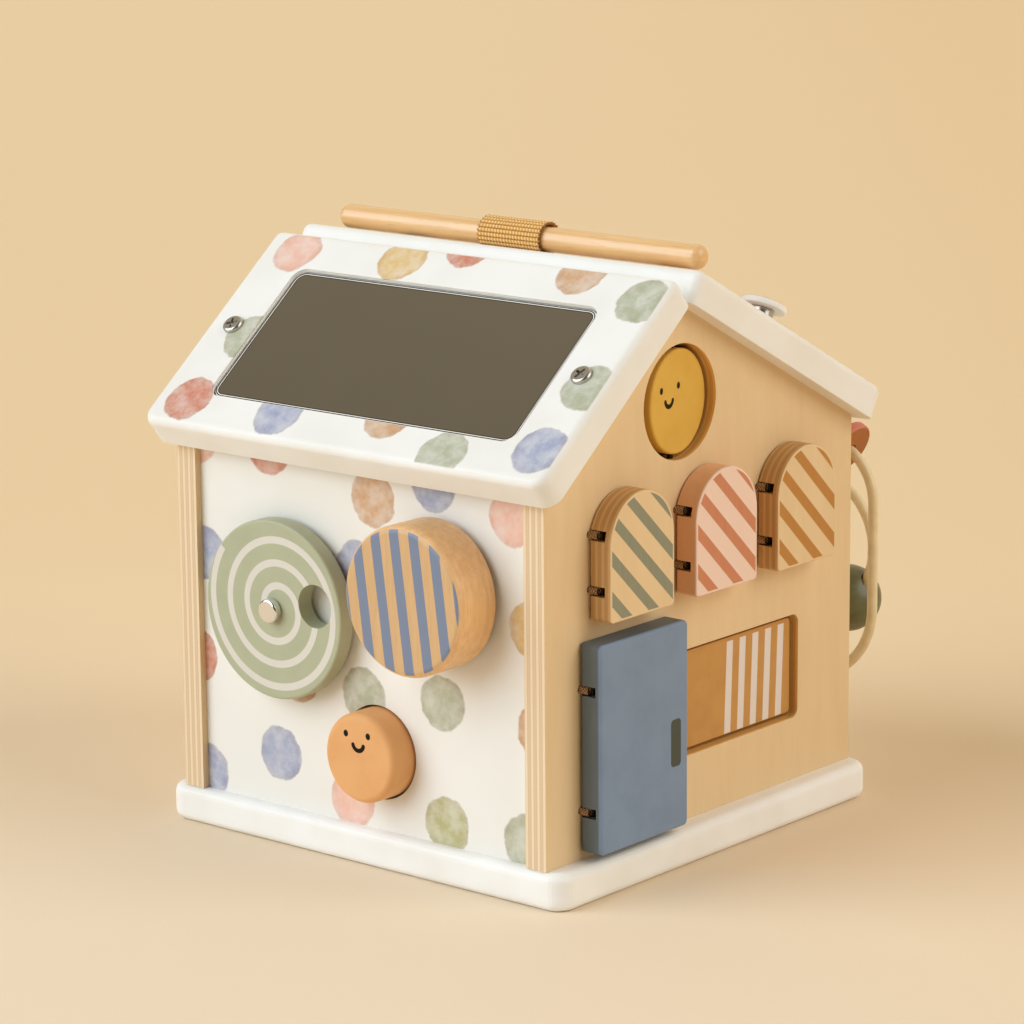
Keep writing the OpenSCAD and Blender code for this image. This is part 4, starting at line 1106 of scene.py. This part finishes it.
shutter_edges = [middle - ARCH_R for middle in SHUTTER_MIDDLES]
for name, node, edges, heights in (
        ("shutter_cord_loops", "shutter_hinge_cords", shutter_edges, SHUTTER_HINGES),
        ("door_cord_loops", "door_hinge_cords", [DOOR_EDGE], DOOR_HINGES)):
    loops = joined(name, [cord_loop("loop", edge, z) for edge in edges for z in heights])
    complete(loops, cord_finish, "house", "hinge_cord", node, angle=ROUND_ANGLE)


# %% [markdown]
# The roof is held by four pan-head screws with a cross recess. One head is turned from a cylinder:
# its upper rim is bevelled into a low dome, its underside is inset and extruded into the shank,
# and two crossed bars cut the recess. Then it is copied to its four places on the slopes.

# %% One screw
HEAD_R = 4.6
HEAD_H = 1.9
HEAD_DOME = 1.3
SHANK_R = 1.9
SHANK_L = 20
RECESS_L = 5.2
RECESS_W = 1.15
RECESS_DEPTH = 1.3
HEAD_SIDES = 48


def screw(name):
    piece = post(name, (0, 0), HEAD_R, 0, HEAD_H, HEAD_SIDES)
    round_edges(piece, lambda a, b: min(a.z, b.z) > HEAD_H - TOUCH, HEAD_DOME, 6)
    for face in edit(piece, "FACE").faces:
        face.select_set(face.normal.z < -0.9)
    bmesh.update_edit_mesh(piece.data)
    bpy.ops.mesh.inset(thickness=(HEAD_R - SHANK_R) * MM, depth=0)
    bpy.ops.mesh.extrude_region_move(TRANSFORM_OT_translate={"value": (0, 0, -SHANK_L * MM)})
    bpy.ops.object.mode_set(mode="OBJECT")
    for long, wide in ((RECESS_L, RECESS_W), (RECESS_W, RECESS_L)):
        cut_away(piece, block("recess", (-long / 2, -wide / 2, HEAD_H - RECESS_DEPTH),
                              (long / 2, wide / 2, HEAD_H + SPARE)))
    return piece


first_screw = screw("screw")
print("one screw has", len(first_screw.data.polygons), "faces")

# %% Four roof screws
SCREW_PLACES = ((-GABLE_MID, FRONT_MIDDLE, FRONT_PITCH, -1, 20),
                (GABLE_MID, FRONT_MIDDLE, FRONT_PITCH, -1, 65),
                (-GABLE_MID, BACK_MIDDLE, BACK_PITCH, 1, 10),
                (GABLE_MID, BACK_MIDDLE, BACK_PITCH, 1, 38))
screws = []
for x, down, pitch, side, turn in SCREW_PLACES:
    copy = first_screw.copy()
    copy.data = first_screw.data.copy()
    bpy.context.scene.collection.objects.link(copy)
    place = on_slope(down, ROOF_T, pitch, side) + Vector((x, 0, 0))
    copy.matrix_world = (Matrix.Translation(place * MM) @ Matrix.Rotation(-side * pitch, 4, "X")
                         @ Matrix.Rotation(math.radians(turn), 4, "Z"))
    pick(copy)
    screws.append(applied("roof_screw"))
bpy.data.meshes.remove(first_screw.data)
complete(joined("cross_head_roof_screws", screws), nickel, "house", "steel", "roof_screws")


# %% [markdown]
# A coil spring behind the button brings it back. A circle as thick as the wire is led round and
# along by a Screw modifier, and its two open ends are filled. The coil spans the length of the
# spring's CAD box; the button's travel is read from its joint, but the coil is not pressed by it.

# %% Button spring
SPRING_WIRE = 1.4
SPRING_R = 8
SPRING_TURNS = 6
TURN_STEPS = 36
WIRE_SIDES = 12
spring_front, spring_back = (Vector(corner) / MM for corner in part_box("button_spring"))
spring_l = spring_back.y - spring_front.y
button_travel = next(j for j in frame["joints"] if j["name"] == "button_push")["range_m"][1] / MM

bpy.ops.object.select_all(action="DESELECT")
bpy.ops.mesh.primitive_circle_add(vertices=WIRE_SIDES, radius=SPRING_WIRE / 2 * MM,
                                  location=(SPRING_R * MM, 0, 0), rotation=(math.radians(90), 0, 0))
spring = applied("coil_spring")
apply_modifier(spring, "SCREW", axis="Z", angle=2 * math.pi, iterations=SPRING_TURNS,
               steps=TURN_STEPS, render_steps=TURN_STEPS, use_merge_vertices=False,
               screw_offset=(spring_l - SPRING_WIRE) / SPRING_TURNS * MM)
edit(spring, "EDGE")
bpy.ops.mesh.select_all(action="SELECT")
bpy.ops.mesh.remove_doubles(threshold=TOUCH * MM)
bpy.ops.mesh.fill_holes(sides=WIRE_SIDES)
bpy.ops.mesh.normals_make_consistent(inside=False)
bpy.ops.object.mode_set(mode="OBJECT")
spring_start = Vector((BUTTON[0], spring_front.y + SPRING_WIRE / 2, BUTTON[2]))
spring.matrix_world = (Matrix.Translation(spring_start * MM)
                       @ Matrix.Rotation(math.radians(-90), 4, "X"))
spring = applied("coil_spring")
complete(spring, nickel, "house", "steel", "button_spring", angle=ROUND_ANGLE)
1 - button_travel / spring_l
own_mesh(spring)
print("spring of", round(spring_l, 1), "mm, pressed by", button_travel, "mm")


# %% [markdown]
# The mirror is a sheet of acrylic let into the roof. It is a box with rounded corners and a
# polished chamfer. The face is silvered. The edge is clear and shows bright and dark lines side
# by side, so the finish measures how far a point lies inside the rounded outline.
# The bright lines are painted highlights on the pale clear edge, and the dark lines are painted shade
# in the pocket's gap and beside the chamfer.

# %% Mirror sheet
MIRROR_W = 165
MIRROR_D = 73
MIRROR_R = 6
MIRROR_T = 2
MIRROR_SET = 1.4
MIRROR_CHAMFER = 0.9
MIRROR_DOWN = FRONT_MIDDLE + 1
half_w, half_d = MIRROR_W / 2, MIRROR_D / 2
mirror_middle = on_slope(MIRROR_DOWN, ROOF_T - MIRROR_SET, FRONT_PITCH, -1)
mirror_piece = block("mirror_sheet", (-half_w, -half_d, -MIRROR_T), (half_w, half_d, 0))
round_edges(mirror_piece, lambda a, b: abs(a.z - b.z) > 1, MIRROR_R, 10)
round_edges(mirror_piece, lambda a, b: min(a.z, b.z) > -TOUCH, MIRROR_CHAMFER, 1)
mirror_piece.matrix_world = (Matrix.Translation(mirror_middle * MM)
                             @ Matrix.Rotation(FRONT_PITCH, 4, "X"))
mirror_piece = applied("mirror_sheet")
print("mirror sheet of", MIRROR_W, "by", MIRROR_D, "mm")

# %% Silvered finish
MIRROR_SILVER = (rgb(155, 154, 149), rgb(146, 145, 140))
EDGE_SHADE = rgb(74, 70, 60)
CLEAR_EDGE_HIGHLIGHT = rgb(246, 244, 239)
CLEAR_EDGE_HIGHLIGHTS = ((0.65, 0.3, 0.08), (1.6, 0.2, 0.08))
SHADE_LINES = ((0, 0.3, 0.08), (1.15, 0.22, 0.08), (2.05, 0.2, 0.1))


def edge_lines(inset, lines):
    """Lines along the outline. Each has its distance from it, its half width and its blur, in mm."""
    drawn = [falling(abs(inset - middle), half, blur) for middle, half, blur in lines]
    return sum(drawn[1:], drawn[0])


mirror_finish, mirror_place = new_finish("silvered_acrylic")
across, up = axes(local(mirror_place, mirror_middle, front_tilt))[:2]
smear = noise(stretched(mirror_place, (1, 0.5, 0.5)), 30, 4.0)
beyond_across = larger(abs(across) - (half_w - MIRROR_R), 0.0)
beyond_up = larger(abs(up) - (half_d - MIRROR_R), 0.0)
inset = MIRROR_R - length(beyond_across, beyond_up)
# Painted light: bright lines mark the clear edge, where the sheet is not metal, and add highlights;
# dark lines are painted shade.
clear_edge_and_highlight = edge_lines(inset, CLEAR_EDGE_HIGHLIGHTS)
silver = blended(smear * 0.5, *MIRROR_SILVER)
edged = blended(clear_edge_and_highlight, blended(edge_lines(inset, SHADE_LINES), silver, EDGE_SHADE), CLEAR_EDGE_HIGHLIGHT)
dress(mirror_finish, edged, 0.03 + 0.05 * rising(smear, 0.6, 0.15) + 0.2 * clear_edge_and_highlight,
      noise(mirror_place, 45, 1.0), 0.01, Metallic=1 - clear_edge_and_highlight)
complete(mirror_piece, mirror_finish, "house", "mirror_sheet", "roof_mirror", angle=25)


# %% [markdown]
# A knitted elastic band holds the rod: it goes over the rod and both its ends go down a slot in
# the roof. A flat grid is led along that path. Rows of ribs and the dips between the stitches are
# real heights on the grid, and Solidify gives it its thickness. The grid's own UV map counts rows
# and stitches for the finish too, so colour and relief agree.
# The colour paints highlights on the tops of the ribs and shade in the dips between rows and stitches,
# and darkens the cut edges, partly as shade and partly as a brown binding.

# %% The strap's path
ROD_DOWN = 8.5
ROD_ABOVE = 7.3
LOOP_R = 6.6
LOOSE = 0.7
SLACK_AT = 1.22 * math.pi
SLACK_SPREAD = 1.1
SLACK_END = 1.7
LOOP_STEPS = 120
TAIL_HALF = 1.15
TAIL_TOP = 0.6
TAIL_L = 12


def strap_path():
    """Points of the strap's outer side, across the slope and above the roof, in mm."""
    start = math.asin(TAIL_HALF / LOOP_R)
    points = [(-TAIL_HALF, -TAIL_L), (-TAIL_HALF, TAIL_TOP)]
    for i in range(LOOP_STEPS + 1):
        angle = start + (2 * math.pi - 2 * start) * i / LOOP_STEPS
        off = angle - SLACK_AT
        slack = max(0.0, math.cos(off / SLACK_SPREAD)) ** 2 if abs(off) < SLACK_END else 0
        reach = LOOP_R + LOOSE * slack
        points.append((-reach * math.sin(angle), ROD_ABOVE - reach * math.cos(angle)))
    return [Vector(p) for p in points + [(TAIL_HALF, TAIL_TOP), (TAIL_HALF, -TAIL_L)]]


path = strap_path()
ways = [0]
for a, b in zip(path, path[1:]):
    ways.append(ways[-1] + (b - a).length)
STRAP_L = ways[-1]


def along_path(way):
    """The point at a way along the path, and the direction out of the band there."""
    i = max(k for k in range(len(path) - 1) if ways[k] <= way)
    step = path[i + 1] - path[i]
    return path[i] + step * ((way - ways[i]) / step.length), Vector((-step.y, step.x)).normalized()


print("the strap's path is", round(STRAP_L, 1), "mm long")

# %% Knitted strap
STRAP_W = 33
STRAP_T = 1.0
STRAP_X = 3.7
ROW = 1.83
STITCH = 1.65
SLANT = 0.35
RELIEF = 0.75
RIB_DIP = 0.4
SEAM_DIP = 0.3
EDGE_WAVE = 0.3
STEPS_ALONG = 270
STEPS_ACROSS = 140


def knit_height(across, way):
    rib = math.sqrt(max(0, 1 - (2 * ((way / ROW) % 1) - 1) ** 2))
    gap = 0.5 - 0.5 * math.cos(2 * math.pi * (across / STITCH + SLANT * ((way / ROW) % 1)))
    return RELIEF * (rib * (1 - RIB_DIP * gap) - SEAM_DIP * (1 - rib) * gap)


bpy.ops.object.select_all(action="DESELECT")
bpy.ops.mesh.primitive_grid_add(x_subdivisions=STEPS_ACROSS, y_subdivisions=STEPS_ALONG, size=1)
strap = bpy.context.object
strap.name = strap.data.name = "knitted_strap"
for vertex in strap.data.vertices:
    across, way = (vertex.co.x + 0.5) * STRAP_W, min(max(vertex.co.y + 0.5, 0), 1) * STRAP_L
    point, outward = along_path(min(way, STRAP_L - 0.001))
    point = point + outward * knit_height(across, way)
    across += EDGE_WAVE * math.sin(2 * math.pi * way / ROW) * (2 * vertex.co.x) ** 9
    place = on_slope(ROD_DOWN + point.x, ROOF_T + point.y, BACK_PITCH, 1)
    vertex.co = (place + Vector((STRAP_X - STRAP_W / 2 + across, 0, 0))) * MM
edit(strap, "FACE")
bpy.ops.mesh.select_all(action="SELECT")
bpy.ops.mesh.normals_make_consistent(inside=False)
bpy.ops.object.mode_set(mode="OBJECT")
apply_modifier(strap, "SOLIDIFY", thickness=STRAP_T * MM, offset=-1)
print("strap of", len(strap.data.polygons), "faces")

# %% Golden yarn
GOLD = rgb(216, 154, 60)
GOLD_HIGHLIGHT = rgb(255, 226, 160)
GOLD_SHADE = rgb(128, 76, 24)
EDGE_BINDING_AND_SHADE = rgb(150, 100, 46)
strap_finish, strap_place = new_finish("golden_knit", Sheen_Weight=0.3, Sheen_Roughness=0.5)
knit = strap_place.node("UVMap")
knit_u, knit_v = axes(knit)[:2]
row = (knit_v * (STRAP_L / ROW)) % 1
rib = larger(1 - (2 * row - 1) ** 2, 0.0) ** 0.5
stitches = knit_u * (STRAP_W / STITCH) + SLANT * row
gap = 0.5 - 0.5 * stitches.math("COSINE", stitches * (2 * math.pi))
yarn = noise(stretched(strap_place, (0.4, 1, 1)), 0.5, 2.0)
# Painted light: rib tops are lightened as highlights, and the dips between rows and stitches are
# darkened as shade.
gold = blended(rising(rib * (1 - 0.5 * gap), 0.7, 0.25) * (0.4 + 0.6 * yarn), GOLD, GOLD_HIGHLIGHT)
gold = blended(falling(rib, 0.6, 0.35) * (0.35 + 0.65 * gap), gold, GOLD_SHADE)
strap_side = abs(axes(strap_place)[0] - STRAP_X)
gold = blended(rising(strap_side, STRAP_W / 2 - 0.15, 0.2) * 0.6, gold, EDGE_BINDING_AND_SHADE)
dress(strap_finish, gold, 0.8 + 0.1 * yarn, yarn, 0.06)
complete(strap, strap_finish, "house", "strap_elastic", "rod_strap", angle=80)


# %% [markdown]
